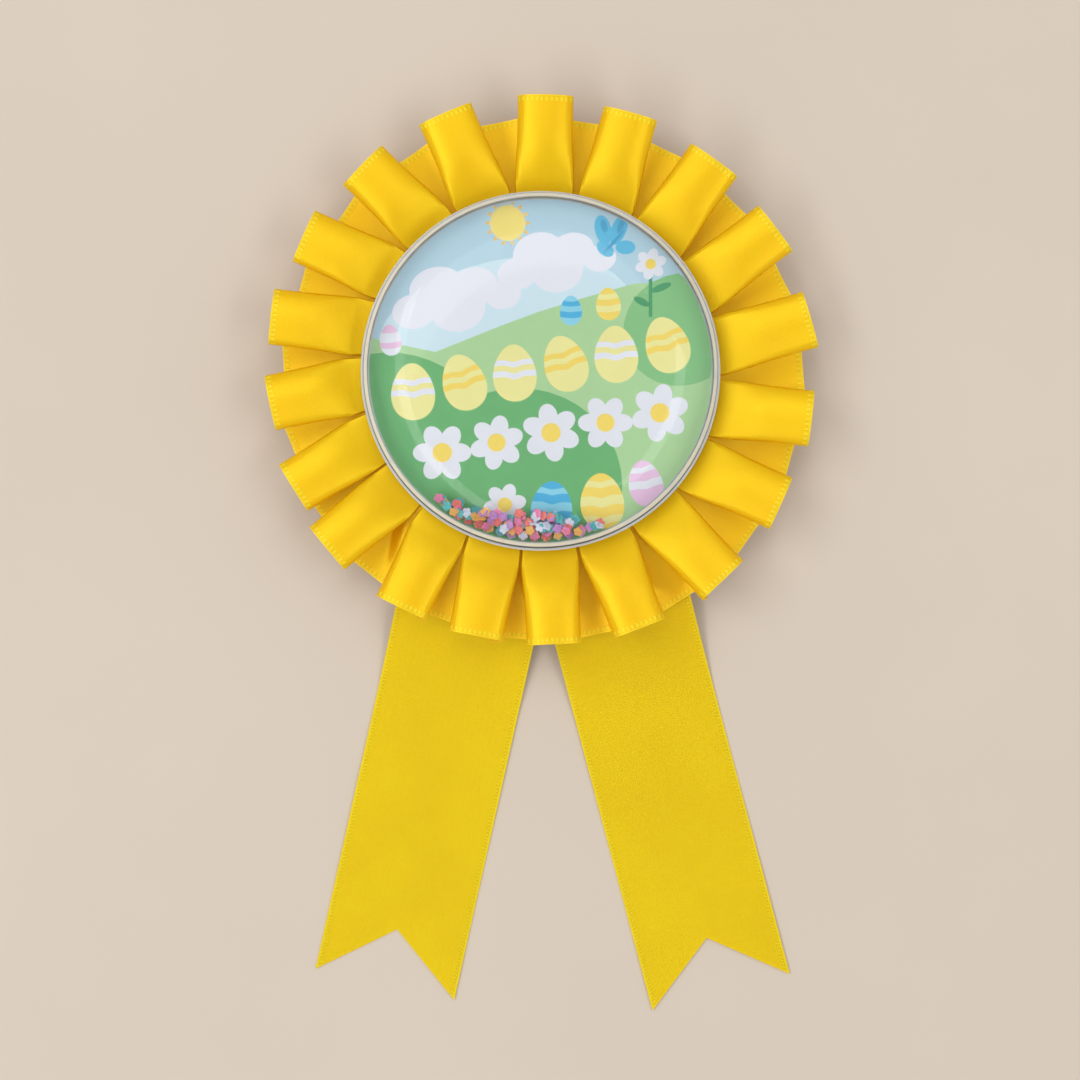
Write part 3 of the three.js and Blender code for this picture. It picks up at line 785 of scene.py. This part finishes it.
# ---- the brooch pin, its tape and the thread
RIVET_LOW, RIVET_HIGH = box_mm("pin_rivet")
PIVOT = (RIVET_LOW + RIVET_HIGH) / 2  # the pin swings about a line along Y through it
CATCH_LOW, CATCH_HIGH = box_mm("catch_barrel")
CATCH = np.array([(CATCH_LOW[0] + CATCH_HIGH[0]) / 2, PIVOT[1], PIVOT[2]])
BAR_LOW, BAR_HIGH = box_mm("pin_bar")
BAR_THICKNESS = 0.7
BAR_HOLE = 0.8
BAR_HOLES_AT = 5
EAR_LENGTH = 3.4
EAR_THICKNESS = 0.6
EAR_INSIDE = 0.75
RIVET_RADIUS = 0.5
RIVET_HEAD_RADIUS = 0.95
RIVET_HEAD = 0.35
EYE_RADIUS = 1.25
EYE_THICKNESS = 0.96
WIRE_RADIUS = 0.45
TIP_LENGTH = 2.4
SLOT = 1.3
CHEEK_RADIUS = 1.85
CHEEK_THICKNESS = 0.7
JOURNAL_RADIUS = 1.15
BARREL_RADIUS = 1.6
BARREL_LENGTH = 1.4
BORE_RADIUS = 0.75
RUNNING_GAP = 0.08
TAB_THICKNESS = 0.5
CURL = 24  # steps in a small full circle


def polar(x, y, radius, a):
    """The point at a radius and an angle from x and y."""
    return x + radius * math.cos(a), y + radius * math.sin(a)


def arc(x, y, radius, start, end, steps=CURL):
    """Points on an arc, from one angle to another in degrees."""
    return [polar(x, y, radius, a) for a in np.radians(np.linspace(start, end, steps + 1))]


def slab(outline, holes, low, high, bevel):
    """A plate with rounded edges: its outline and holes in its own plane, and its two faces."""
    loops = [outline, *holes]
    flat = bmesh.new()
    for loop in loops:
        corners = [flat.verts.new((x, y, 0)) for x, y in loop]
        for k, corner in enumerate(corners):
            flat.edges.new((corners[k - 1], corner))
    flat.verts.index_update()
    bmesh.ops.triangle_fill(flat, use_beauty=True, edges=flat.edges[:])
    triangles = [[v.index for v in face.verts] for face in flat.faces]
    flat.free()
    work = bmesh.new()
    total = sum(len(loop) for loop in loops)
    corners = [work.verts.new((x, y, z)) for z in (low, high) for loop in loops for x, y in loop]
    for triangle in triangles:
        work.faces.new([corners[i] for i in triangle])
        work.faces.new([corners[i + total] for i in reversed(triangle)])
    start = 0
    for loop in loops:
        for k in range(len(loop)):
            here, before = start + k, start + (k - 1) % len(loop)
            work.faces.new([corners[i] for i in (before, here, here + total, before + total)])
        start += len(loop)
    bmesh.ops.recalc_face_normals(work, faces=work.faces[:])
    level = [e for e in work.edges if abs(e.verts[0].co.z - e.verts[1].co.z) < 1e-6]
    rims = [e for e in level if e.calc_face_angle(0.0) > 1]
    settings = {"segments": 3, "profile": 0.5, "affect": "EDGES", "clamp_overlap": True}
    bmesh.ops.bevel(work, geom=rims, offset=bevel, **settings)
    work.verts.index_update()
    points = [tuple(v.co) for v in work.verts]
    faces = [[v.index for v in face.verts] for face in work.faces]
    work.free()
    return points, faces


def turned_to(shape, axis, origin):
    """A shape whose own z is laid along the named axis of the row frame, and moved to an origin."""
    order = {"x": (2, 0, 1), "y": (0, 2, 1), "z": (0, 1, 2)}[axis]
    points, faces = shape
    return [tuple(p[i] + o for i, o in zip(order, origin)) for p in points], faces


def made_of(name, shapes, material, body, node, sharp=40):
    """One piece made of several closed shapes."""
    points, faces = [], []
    for shape_points, shape_faces in shapes:
        inside_out = -1 if signed_volume(shape_points, shape_faces) < 0 else 1
        faces += [[i + len(points) for i in face][::inside_out] for face in shape_faces]
        points += shape_points
    return mesh_object(name, points, faces, [material], body, [node], sharp)


def stadium(length, width, x=0.0, y=0.0):
    """The outline of a bar with round ends."""
    end = (length - width) / 2
    return arc(x + end, y, width / 2, -90, 90, 16) + arc(x - end, y, width / 2, 90, 270, 16)


def hook(outer, inner, top=None):
    """A round section with a bore and a slot down to the bore. With a top, it stands up to that height."""
    foot = math.degrees(math.asin(SLOT / 2 / outer))
    mouth = math.degrees(math.asin(SLOT / 2 / inner))
    if top is None:
        around = arc(0, 0, outer, -90 - foot, -450 + foot, 40)
    else:
        around = [*arc(0, 0, outer, -90 - foot, -180, 10), (-outer, top), (outer, top)]
        around += arc(0, 0, outer, 0, -90 + foot, 10)
    return around + arc(0, 0, inner, -90 + mouth, 270 - mouth, 30)


def build_bar():
    x, y = (BAR_LOW[0] + BAR_HIGH[0]) / 2, PIVOT[1]
    length, width = BAR_HIGH[0] - BAR_LOW[0], BAR_HIGH[1] - BAR_LOW[1]
    bottom = BAR_HIGH[2] - BAR_THICKNESS
    holes = [arc(x + off, y, BAR_HOLE, 0, -360)[:-1] for off in (-BAR_HOLES_AT, BAR_HOLES_AT)]
    shapes = [slab(stadium(length, width, x, y), holes, bottom, BAR_HIGH[2], 0.14)]
    root = bottom + 0.2 - PIVOT[2]
    half = EAR_LENGTH / 2
    ear = arc(0, half - PIVOT[2], half, -180, 0) + [(half, root), (-half, root)]
    bore = arc(0, 0, RIVET_RADIUS + RUNNING_GAP, 0, -360)[:-1]
    cheek = hook(CHEEK_RADIUS, JOURNAL_RADIUS + RUNNING_GAP, root)
    ears = ear, [bore], EAR_INSIDE, EAR_THICKNESS, "y", PIVOT
    cheeks = cheek, [], BARREL_LENGTH / 2 + RUNNING_GAP, CHEEK_THICKNESS, "x", CATCH
    for outline, bores, near, thickness, axis, origin in (ears, cheeks):
        for side in (-1, 1):
            inner, outer = sorted((side * near, side * (near + thickness)))
            shapes.append(turned_to(slab(outline, bores, inner, outer, 0.1), axis, origin))
    made_of("brooch_bar", shapes, STEEL, "rosette", "pin_bar")


def build_rivet():
    outside = EAR_INSIDE + EAR_THICKNESS + 0.03
    quarter = np.linspace(0, math.pi / 2, 7)
    dome = [(RIVET_HEAD_RADIUS * math.cos(a), RIVET_HEAD * math.sin(a)) for a in quarter]
    dome[-1] = (0.0, RIVET_HEAD)
    high = [(RIVET_RADIUS, outside), *[(r, outside + h) for r, h in dome]]
    low = [(r, -z) for r, z in reversed(high)]
    shape = turned_to(lathe(low + high, 32, (0.0, 0.0)), "y", PIVOT)
    made_of("brooch_rivet", [shape], STEEL, "rosette", "pin_rivet")


def build_wire():
    inner = RIVET_RADIUS + 0.06
    thick = (EYE_RADIUS - inner) / 2
    section = [
        (inner + thick + thick * math.cos(a), EYE_THICKNESS / 2 * math.sin(a))
        for a in np.linspace(0, 2 * math.pi, 17)[:-1]
    ]
    eye = turned_to(lathe(section, 48, (0.0, 0.0)), "y", PIVOT)
    tip = box_mm("pin_wire")[1][0] - PIVOT[0]
    straight = tip - TIP_LENGTH
    taper = [
        (WIRE_RADIUS * (1 - t) ** 0.8 + 0.05 * t, straight + TIP_LENGTH * 0.98 * t)
        for t in np.linspace(0, 1, 12)
    ]
    profile = [(0.0, inner + thick), (WIRE_RADIUS, inner + thick), *taper, (0.0, tip)]
    shank = turned_to(lathe(profile, 24, (0.0, 0.0)), "x", PIVOT)
    made_of("brooch_wire", [eye, shank], STEEL, "pin", "pin_wire")


def build_catch():
    half = BARREL_LENGTH / 2 + RUNNING_GAP + CHEEK_THICKNESS
    barrel = slab(hook(BARREL_RADIUS, BORE_RADIUS), [], -BARREL_LENGTH / 2, BARREL_LENGTH / 2, 0.14)
    journal = slab(hook(JOURNAL_RADIUS, BORE_RADIUS + 0.01), [], -half, half, 0.06)
    reach = CATCH_HIGH[1] - CATCH[1]
    near = BORE_RADIUS + 0.3
    width = BARREL_LENGTH / 2
    paddle = [(-width, near), (width, near), *arc(0, reach - width, width, 0, 180, 14)]
    tab = slab(paddle, [], -TAB_THICKNESS / 2, TAB_THICKNESS / 2, 0.12)
    shapes = [turned_to(barrel, "x", CATCH), turned_to(journal, "x", CATCH), turned_to(tab, "z", CATCH)]
    made_of("brooch_catch", shapes, STEEL, "catch", "catch_barrel")


def build_tape():
    low, high = box_mm("bar_tape")
    length, width, _ = high - low
    outline = stadium(length, width, (low[0] + high[0]) / 2, (low[1] + high[1]) / 2)
    made = made_of("tape", [slab(outline, [], low[2], high[2], 0.1)], FOAM, "rosette", "bar_tape")


def build_thread():
    """Two strands twisted together, all round the gathered edge."""
    low, high = box_mm("gathering_thread")
    thickness = (high[2] - low[2]) / 2
    ring = (high[0] - low[0]) / 2 - thickness
    twists, steps, sides = 60, 600, 6
    shapes = []
    for strand in range(2):
        points = []
        for k in range(steps):
            around = 2 * math.pi * k / steps
            twist = twists * around + strand * math.pi
            r = ring + 0.5 * thickness * math.cos(twist)
            z = low[2] + thickness + 0.5 * thickness * math.sin(twist)
            for side in range(sides):
                a = 2 * math.pi * side / sides
                out = r + 0.5 * thickness * math.cos(a)
                up = z + 0.5 * thickness * math.sin(a)
                points.append((out * math.cos(around), AXIS_Y + out * math.sin(around), up))
        faces = []
        for k in range(steps):
            here, there = k * sides, (k + 1) % steps * sides
            for side in range(sides):
                turn = (side + 1) % sides
                faces.append([here + side, there + side, there + turn, here + turn])
        shapes.append((points, faces))
    made_of("gather_thread", shapes, THREAD, "rosette", "gathering_thread", 80)


build_bar()
build_rivet()
build_wire()
build_catch()
build_tape()
build_thread()


# ---- the print under the dome
PRINT_RADIUS = (INSERT_HIGH[0] - INSERT_LOW[0]) / 2
CLOUD_TILT = 12  # degrees anticlockwise
# The top edge of the light green hill, from left to right.
GREENS_EDGE = [(-29, 5.6), (-24.3, 4.5), (-18, 3.2), (-12, 5.6), (-6.5, 7.8), (0, 10.2), (7.2, 12.4)]
GREENS_EDGE += [(16, 14.9), (29, 17.6)]


def placed(points, x, y, tilt):
    """Points turned by a tilt in degrees and moved to x and y."""
    c, s = math.cos(math.radians(tilt)), math.sin(math.radians(tilt))
    return [(x + px * c - py * s, y + px * s + py * c) for px, py in points]


def oval(x, y, width, height, tilt=0, count=28):
    around = [2 * math.pi * k / count for k in range(count)]
    points = [(width / 2 * math.cos(a), height / 2 * math.sin(a)) for a in around]
    return placed(points, x, y, tilt)


def egg_point(width, height, a):
    """A point of an egg's outline at an angle from its narrow top."""
    return width / 2 * math.sin(a) * (1 - 0.16 * math.cos(a)), height / 2 * math.cos(a)


def sagging(end, share, width):
    """A point on a stripe's edge, a share of the way from the egg's middle line to the edge's end."""
    across = end[0] * share
    return across, end[1] - 0.06 * width * math.cos(across)


def egg(x, y, width, height, tilt, shell, stripe, bands):
    """An egg with stripes: bands are the angles from its top where a stripe starts and ends."""
    outline = [egg_point(width, height, 2 * math.pi * k / 36) for k in range(36)]
    shapes = [(shell, placed(outline, x, y, tilt))]
    for start, end in bands:
        steps = [math.radians(start + (end - start) * k / 6) for k in range(7)]
        right = [egg_point(width, height, a) for a in steps]
        left = [(-px, py) for px, py in reversed(right)]
        low = [sagging(right[-1], share, width) for share in (0.5, 0, -0.5)]
        top = [sagging(right[0], share, width) for share in (-0.5, 0, 0.5)]
        shapes.append((stripe, placed(right + low + left + top, x, y, tilt)))
    return shapes


def daisy(x, y, radius, petals, petal, heart, turn=0):
    shapes = []
    for k in range(petals):
        a = turn + 2 * math.pi * k / petals
        place = polar(x, y, 0.58 * radius, a)
        outline = oval(*place, 0.84 * radius, 3.9 * radius / petals, math.degrees(a), 18)
        shapes.append((petal, outline))
    return [*shapes, (heart, oval(x, y, radius * 0.66, radius * 0.66))]


def scaled(points, size):
    return [(a * size, b * size) for a, b in points]


def cloud(x, y, size, tilt):
    """Five round puffs: each one's middle and its width, on a cloud of size 1."""
    puffs = [(-0.55, -0.05, 0.55), (-0.2, 0.16, 0.72), (0.25, 0.1, 0.62)]
    puffs += [(0.6, -0.08, 0.45), (0, -0.14, 0.7)]
    return [("cloud", placed(scaled(oval(px, py, d, d * 0.8), size), x, y, tilt)) for px, py, d in puffs]


def sunshine(x, y, radius, rays):
    shapes = []
    for k in range(rays):
        a = 2 * math.pi * k / rays
        corners = [(1.06, a - 0.13), (1.32, a), (1.06, a + 0.13)]
        shapes.append(("ray", [polar(x, y, share * radius, b) for share, b in corners]))
    return [*shapes, ("sun", oval(x, y, 2 * radius, 2 * radius))]


def butterfly(x, y, size, tilt):
    """Four wings, two spots and a body: ovals given by middle, width, height and tilt."""
    wings = [(-0.36, 0.3, 0.5, 0.9, 25), (0.1, 0.38, 0.46, 0.95, -12)]
    wings += [(-0.2, -0.25, 0.4, 0.6, 60), (0.4, -0.1, 0.6, 0.42, 10)]
    darker = [(-0.36, 0.42, 0.2, 0.4, 25), (0.14, 0.5, 0.18, 0.44, -12), (0.02, 0.0, 0.1, 0.95, -32)]
    parts = [("butterfly", wing) for wing in wings] + [("wing", part) for part in darker]
    return [(name, placed(scaled(oval(*part), size), x, y, tilt)) for name, part in parts]


def along_row(start, end, count):
    """Evenly spaced places on a line, and the line's tilt in degrees."""
    (x0, y0), (x1, y1) = start, end
    across, up = x1 - x0, y1 - y0
    tilt = math.degrees(math.atan2(up, across))
    return [(x0 + across * k / (count - 1), y0 + up * k / (count - 1)) for k in range(count)], tilt


def picture():
    """The spring meadow, back to front: ink name and outline, in millimetres from the badge's middle."""
    shapes = [("haze", oval(-6, 8, 44, 22, 12))]
    below = [(PRINT_RADIUS * math.cos(a), PRINT_RADIUS * math.sin(a)) for a in np.linspace(0.5, -3.3, 60)]
    shapes.append(("light_green", [*GREENS_EDGE, *below]))
    shapes.append(("green", oval(-25, -12, 34, 30, -14, 40)))
    shapes.append(("mid_green", oval(24, 7, 20, 19, 30)))
    shapes.append(("green", oval(-4, -20, 36, 34, 10, 40)))
    shapes += sunshine(-5.6, 25.2, 3.0, 14)
    shapes += cloud(-14.5, 12.3, 13.5, CLOUD_TILT) + cloud(2.6, 18.6, 12.5, CLOUD_TILT)
    shapes += butterfly(12.4, 22.0, 5.6, -10)
    shapes.append(("leaf", [(18.5, 17.0), (18.5, 9.2), (19.1, 9.2), (19.1, 17.0)]))
    shapes += [("leaf", oval(20.6, 14.2, 3.6, 1.2, 22)), ("leaf", oval(17.3, 11.8, 3.0, 1.2, -28))]
    shapes += daisy(18.8, 18.2, 2.7, 6, "white", "gold", 0.3)
    stripes = [(48, 70), (92, 116)]
    shapes += egg(5.2, 10.3, 3.7, 5.1, 0, "pale_blue", "blue", stripes)
    shapes += egg(11.6, 11.4, 4.2, 5.6, 4, "gold", "yellow", stripes)
    shapes += egg(-25.6, 5.2, 3.6, 5.3, 6, "white", "pink", [(0.5, 58), (96, 118)])
    eggs, tilt = along_row((-21.8, -3.6), (21.6, 4.4), 6)
    for k, (x, y) in enumerate(eggs):
        lean = tilt + (7 if k % 2 else -7)
        stripe = "gold" if k % 2 else "cloud"
        shapes += egg(x, y, 7.4, 9.8, lean, "yellow", stripe, [(62, 74), (86, 98)])
    flowers, _ = along_row((-16.8, -14.0), (20.4, -7.2), 5)
    for k, (x, y) in enumerate(flowers):
        shapes += daisy(x, y, 5.0 - 0.3 * (k % 2), 6, "white", "gold", 0.35 * k)
    shapes += daisy(-6.1, -22.9, 3.7, 6, "white", "gold", 0.2)
    bands = [(40, 58), (80, 100)]
    shapes += egg(1.9, -23.2, 7.0, 8.6, -2, "blue", "pale_blue", bands)
    shapes += egg(10.5, -22.2, 7.4, 9.4, 4, "gold", "yellow", [*bands, (122, 140)])
    shapes += egg(17.9, -19.2, 5.8, 7.9, 12, "pink", "white", bands)
    return shapes


def inside_disc(point, radius):
    reach = math.hypot(*point)
    return point if reach <= radius else (point[0] * radius / reach, point[1] * radius / reach)


def anticlockwise(outline):
    area = sum(a[0] * b[1] - b[0] * a[1] for a, b in zip(outline, outline[1:] + outline[:1]))
    return outline if area > 0 else outline[::-1]


def build_print():
    """One sheet, divided along every outline, so that each colour is its own faces."""
    names = list(INKS)
    shapes = [("sky", oval(0, 0, 2 * PRINT_RADIUS, 2 * PRINT_RADIUS, 0, ROUND)), *picture()]
    points = []
    faces = []
    for k, (_, drawn_outline) in enumerate(shapes):
        outline = anticlockwise(drawn_outline)
        faces.append(list(range(len(points), len(points) + len(outline))))
        limit = PRINT_RADIUS - (0.05 if k else 0)
        points.extend(Vector(inside_disc(p, limit) if k else p) for p in outline)
    made = delaunay_2d_cdt(points, [], faces, 1, 1e-4)
    work = bmesh.new()
    corners = [work.verts.new(Vector((p.x, p.y + AXIS_Y, INSERT_HIGH[2])) * MM) for p in made[0]]
    for face, sources in zip(made[2], made[5]):
        top = work.faces.new([corners[i] for i in face])
        top.material_index = names.index(shapes[max(sources)][0])
    rim = [edge for edge in work.edges if len(edge.link_faces) == 1]
    drawn = bmesh.ops.extrude_edge_only(work, edges=rim)["geom"]
    lower = [item for item in drawn if isinstance(item, bmesh.types.BMVert)]
    for corner in lower:
        corner.co.z = INSERT_LOW[2] * MM
    around = sorted(lower, key=lambda c: math.atan2(c.co.y - AXIS_Y * MM, c.co.x))
    work.faces.new(around).material_index = names.index("white")
    bmesh.ops.recalc_face_normals(work, faces=work.faces)
    mesh = bpy.data.meshes.new("print_sheet")
    work.to_mesh(mesh)
    work.free()
    add_piece("print_sheet", mesh, [INK[name] for name in names], "rosette", ["printed_insert"])


build_print()


# ---- the loose confetti
TURN_STEP = math.radians(137.5)
CONFETTI_TILT = math.radians(9)
HEAP_MIDDLE = 189  # degrees clockwise from the top
HEAP_REACH = 31  # degrees each way
HEAP_RADIUS = 28.2  # from the badge's middle to the heap's outer edge
HEAP_DEPTH = 4.2  # inwards from there
CAD_CONFETTI = 36
EXTRA_CONFETTI = 64  # loose flowers on top of the heap


def flower_mesh():
    """A five-petalled flower with soft edges and a dimple, about its own middle."""
    petals, per_petal = 5, 8
    count = petals * per_petal
    angles = 2 * np.pi * np.arange(count) / count
    from_petal = (angles + math.pi / petals) % (2 * math.pi / petals) - math.pi / petals
    lobe = PETAL_RADIUS**2 - (PETAL_REACH * np.sin(from_petal)) ** 2
    outline = PETAL_REACH * np.cos(from_petal) + np.sqrt(lobe)
    half = CONFETTI_THICKNESS / 2
    rings = [(0.4, 0.62 * half), (0.72, half), (0.93, 0.8 * half), (1, 0.3 * half), (1, -0.3 * half)]
    rings.append((0.9, -half))
    points = []
    for scale, z in rings:
        dimple = np.full(count, (PETAL_REACH + PETAL_RADIUS) * scale)
        reach = outline * scale if scale > 0.5 else dimple
        points.extend(zip(reach * np.cos(angles), reach * np.sin(angles), [z] * count))
    faces = []
    for ring in range(len(rings) - 1):
        for k in range(count):
            n = (k + 1) % count
            a, b = ring * count, (ring + 1) * count
            faces.append([a + k, b + k, b + n, a + n])
    faces.append(list(range(count)))
    faces.append([len(points) - count + k for k in reversed(range(count))])
    return np.array(points, float), faces


FLOWER_POINTS, FLOWER_FACES = flower_mesh()


def turned_about(points, tip_x, tip_y, spin):
    """Points turned about z, then y, then x."""
    cx, sx, cy, sy, cz, sz = (f(a) for a in (tip_x, tip_y, spin) for f in (math.cos, math.sin))
    about_z = np.array([[cz, -sz, 0], [sz, cz, 0], [0, 0, 1]])
    about_y = np.array([[cy, 0, sy], [0, 1, 0], [-sy, 0, cy]])
    about_x = np.array([[1, 0, 0], [0, cx, -sx], [0, sx, cx]])
    return points @ (about_x @ about_y @ about_z).T


def add_flower(name, colour, tips, spin, place, nodes=()):
    points = turned_about(FLOWER_POINTS, *tips, spin) + place
    mesh_object(name, points, FLOWER_FACES, [FLECK[colour]], "confetti", nodes)


def build_confetti():
    """The CAD's flowers where the CAD has them, then looser ones on top, heaped deepest in the middle."""
    names = list(CONFETTI)
    top = 0
    for n in range(1, CAD_CONFETTI + 1):
        node = f"confetti_{n:02d}"
        low, high = box_mm(node)
        tips = CONFETTI_TILT * math.sin(n * TURN_STEP), CONFETTI_TILT * math.cos(n * TURN_STEP)
        place = (low + high) / 2
        add_flower(f"flower_{n:02d}", names[n * 5 % len(names)], tips, n * TURN_STEP, place, [node])
        top = max(top, place[2])
    dice = random.Random(5)
    for n in range(EXTRA_CONFETTI):
        colour = names[dice.randrange(len(names))]
        spread = dice.uniform(-1, 1)
        inwards = dice.uniform(0, HEAP_DEPTH) * (1 - abs(spread) ** 1.5) ** 0.7
        x, y = clockwise(HEAP_MIDDLE + HEAP_REACH * spread, HEAP_RADIUS - inwards)
        height = top + dice.uniform(-0.3, 0.75)
        tips = dice.uniform(-0.6, 0.6), dice.uniform(-0.6, 0.6)
        spin = dice.uniform(0, 6)
        add_flower(f"loose_flower_{n + 1:02d}", colour, tips, spin, (x, y + AXIS_Y, height))


build_confetti()


# ---- camera, floor and light
FOCAL_LENGTH = 85
SENSOR_WIDTH = 36
FRAME_WIDTH = 190.1  # what the camera takes in at the table
CAMERA_BELOW_AXIS = 28.96
CAMERA_X = -0.09


def build_stage():
    height = FRAME_WIDTH * FOCAL_LENGTH / SENSOR_WIDTH
    camera = bpy.data.cameras.new("camera")
    camera.lens = FOCAL_LENGTH
    camera.sensor_width = SENSOR_WIDTH
    camera.clip_start = 0.01
    view = in_scene("camera", camera)
    view.location = Vector((CAMERA_X, AXIS_Y - CAMERA_BELOW_AXIS, height)) * MM
    bpy.context.scene.camera = view
    bpy.ops.mesh.primitive_plane_add(size=4)
    floor = bpy.context.object
    floor.name = "floor"
    floor.data.materials.append(plain("floor", (211, 199, 185), (207, 195, 181), 0.7, 6.0, 0.0))


def area_light(name, place, target, size, power, colour):
    """A rectangular lamp. Its place, target and size are in metres."""
    light = bpy.data.lights.new(name, "AREA")
    light.shape = "RECTANGLE"
    light.size, light.size_y = size
    light.energy = power
    light.color = colour
    lamp = in_scene(name, light)
    lamp.location = place
    lamp.rotation_euler = (Vector(target) - Vector(place)).to_track_quat("-Z", "Y").to_euler()


def build_lights():
    world = bpy.data.worlds.new("studio")
    world.use_nodes = True
    background = world.node_tree.nodes["Background"]
    background.inputs[0].default_value = (1.0, 0.985, 0.965, 1.0)
    background.inputs[1].default_value = 0.62
    bpy.context.scene.world = world
    bpy.context.scene.view_settings.view_transform = "Standard"
    middle = (0, AXIS_Y * MM, 0)
    area_light("left_strip", (-0.43, -0.1, 0.72), middle, (1.15, 0.2), 2.4, (1.0, 0.98, 0.95))
    area_light("top_strip", (-0.1, 0.3, 0.76), middle, (0.7, 0.32), 1.15, (1.0, 0.985, 0.96))
    area_light("right_strip", (0.42, -0.1, 0.72), middle, (0.55, 0.2), 1.0, (0.97, 0.98, 1.0))


build_stage()
build_lights()
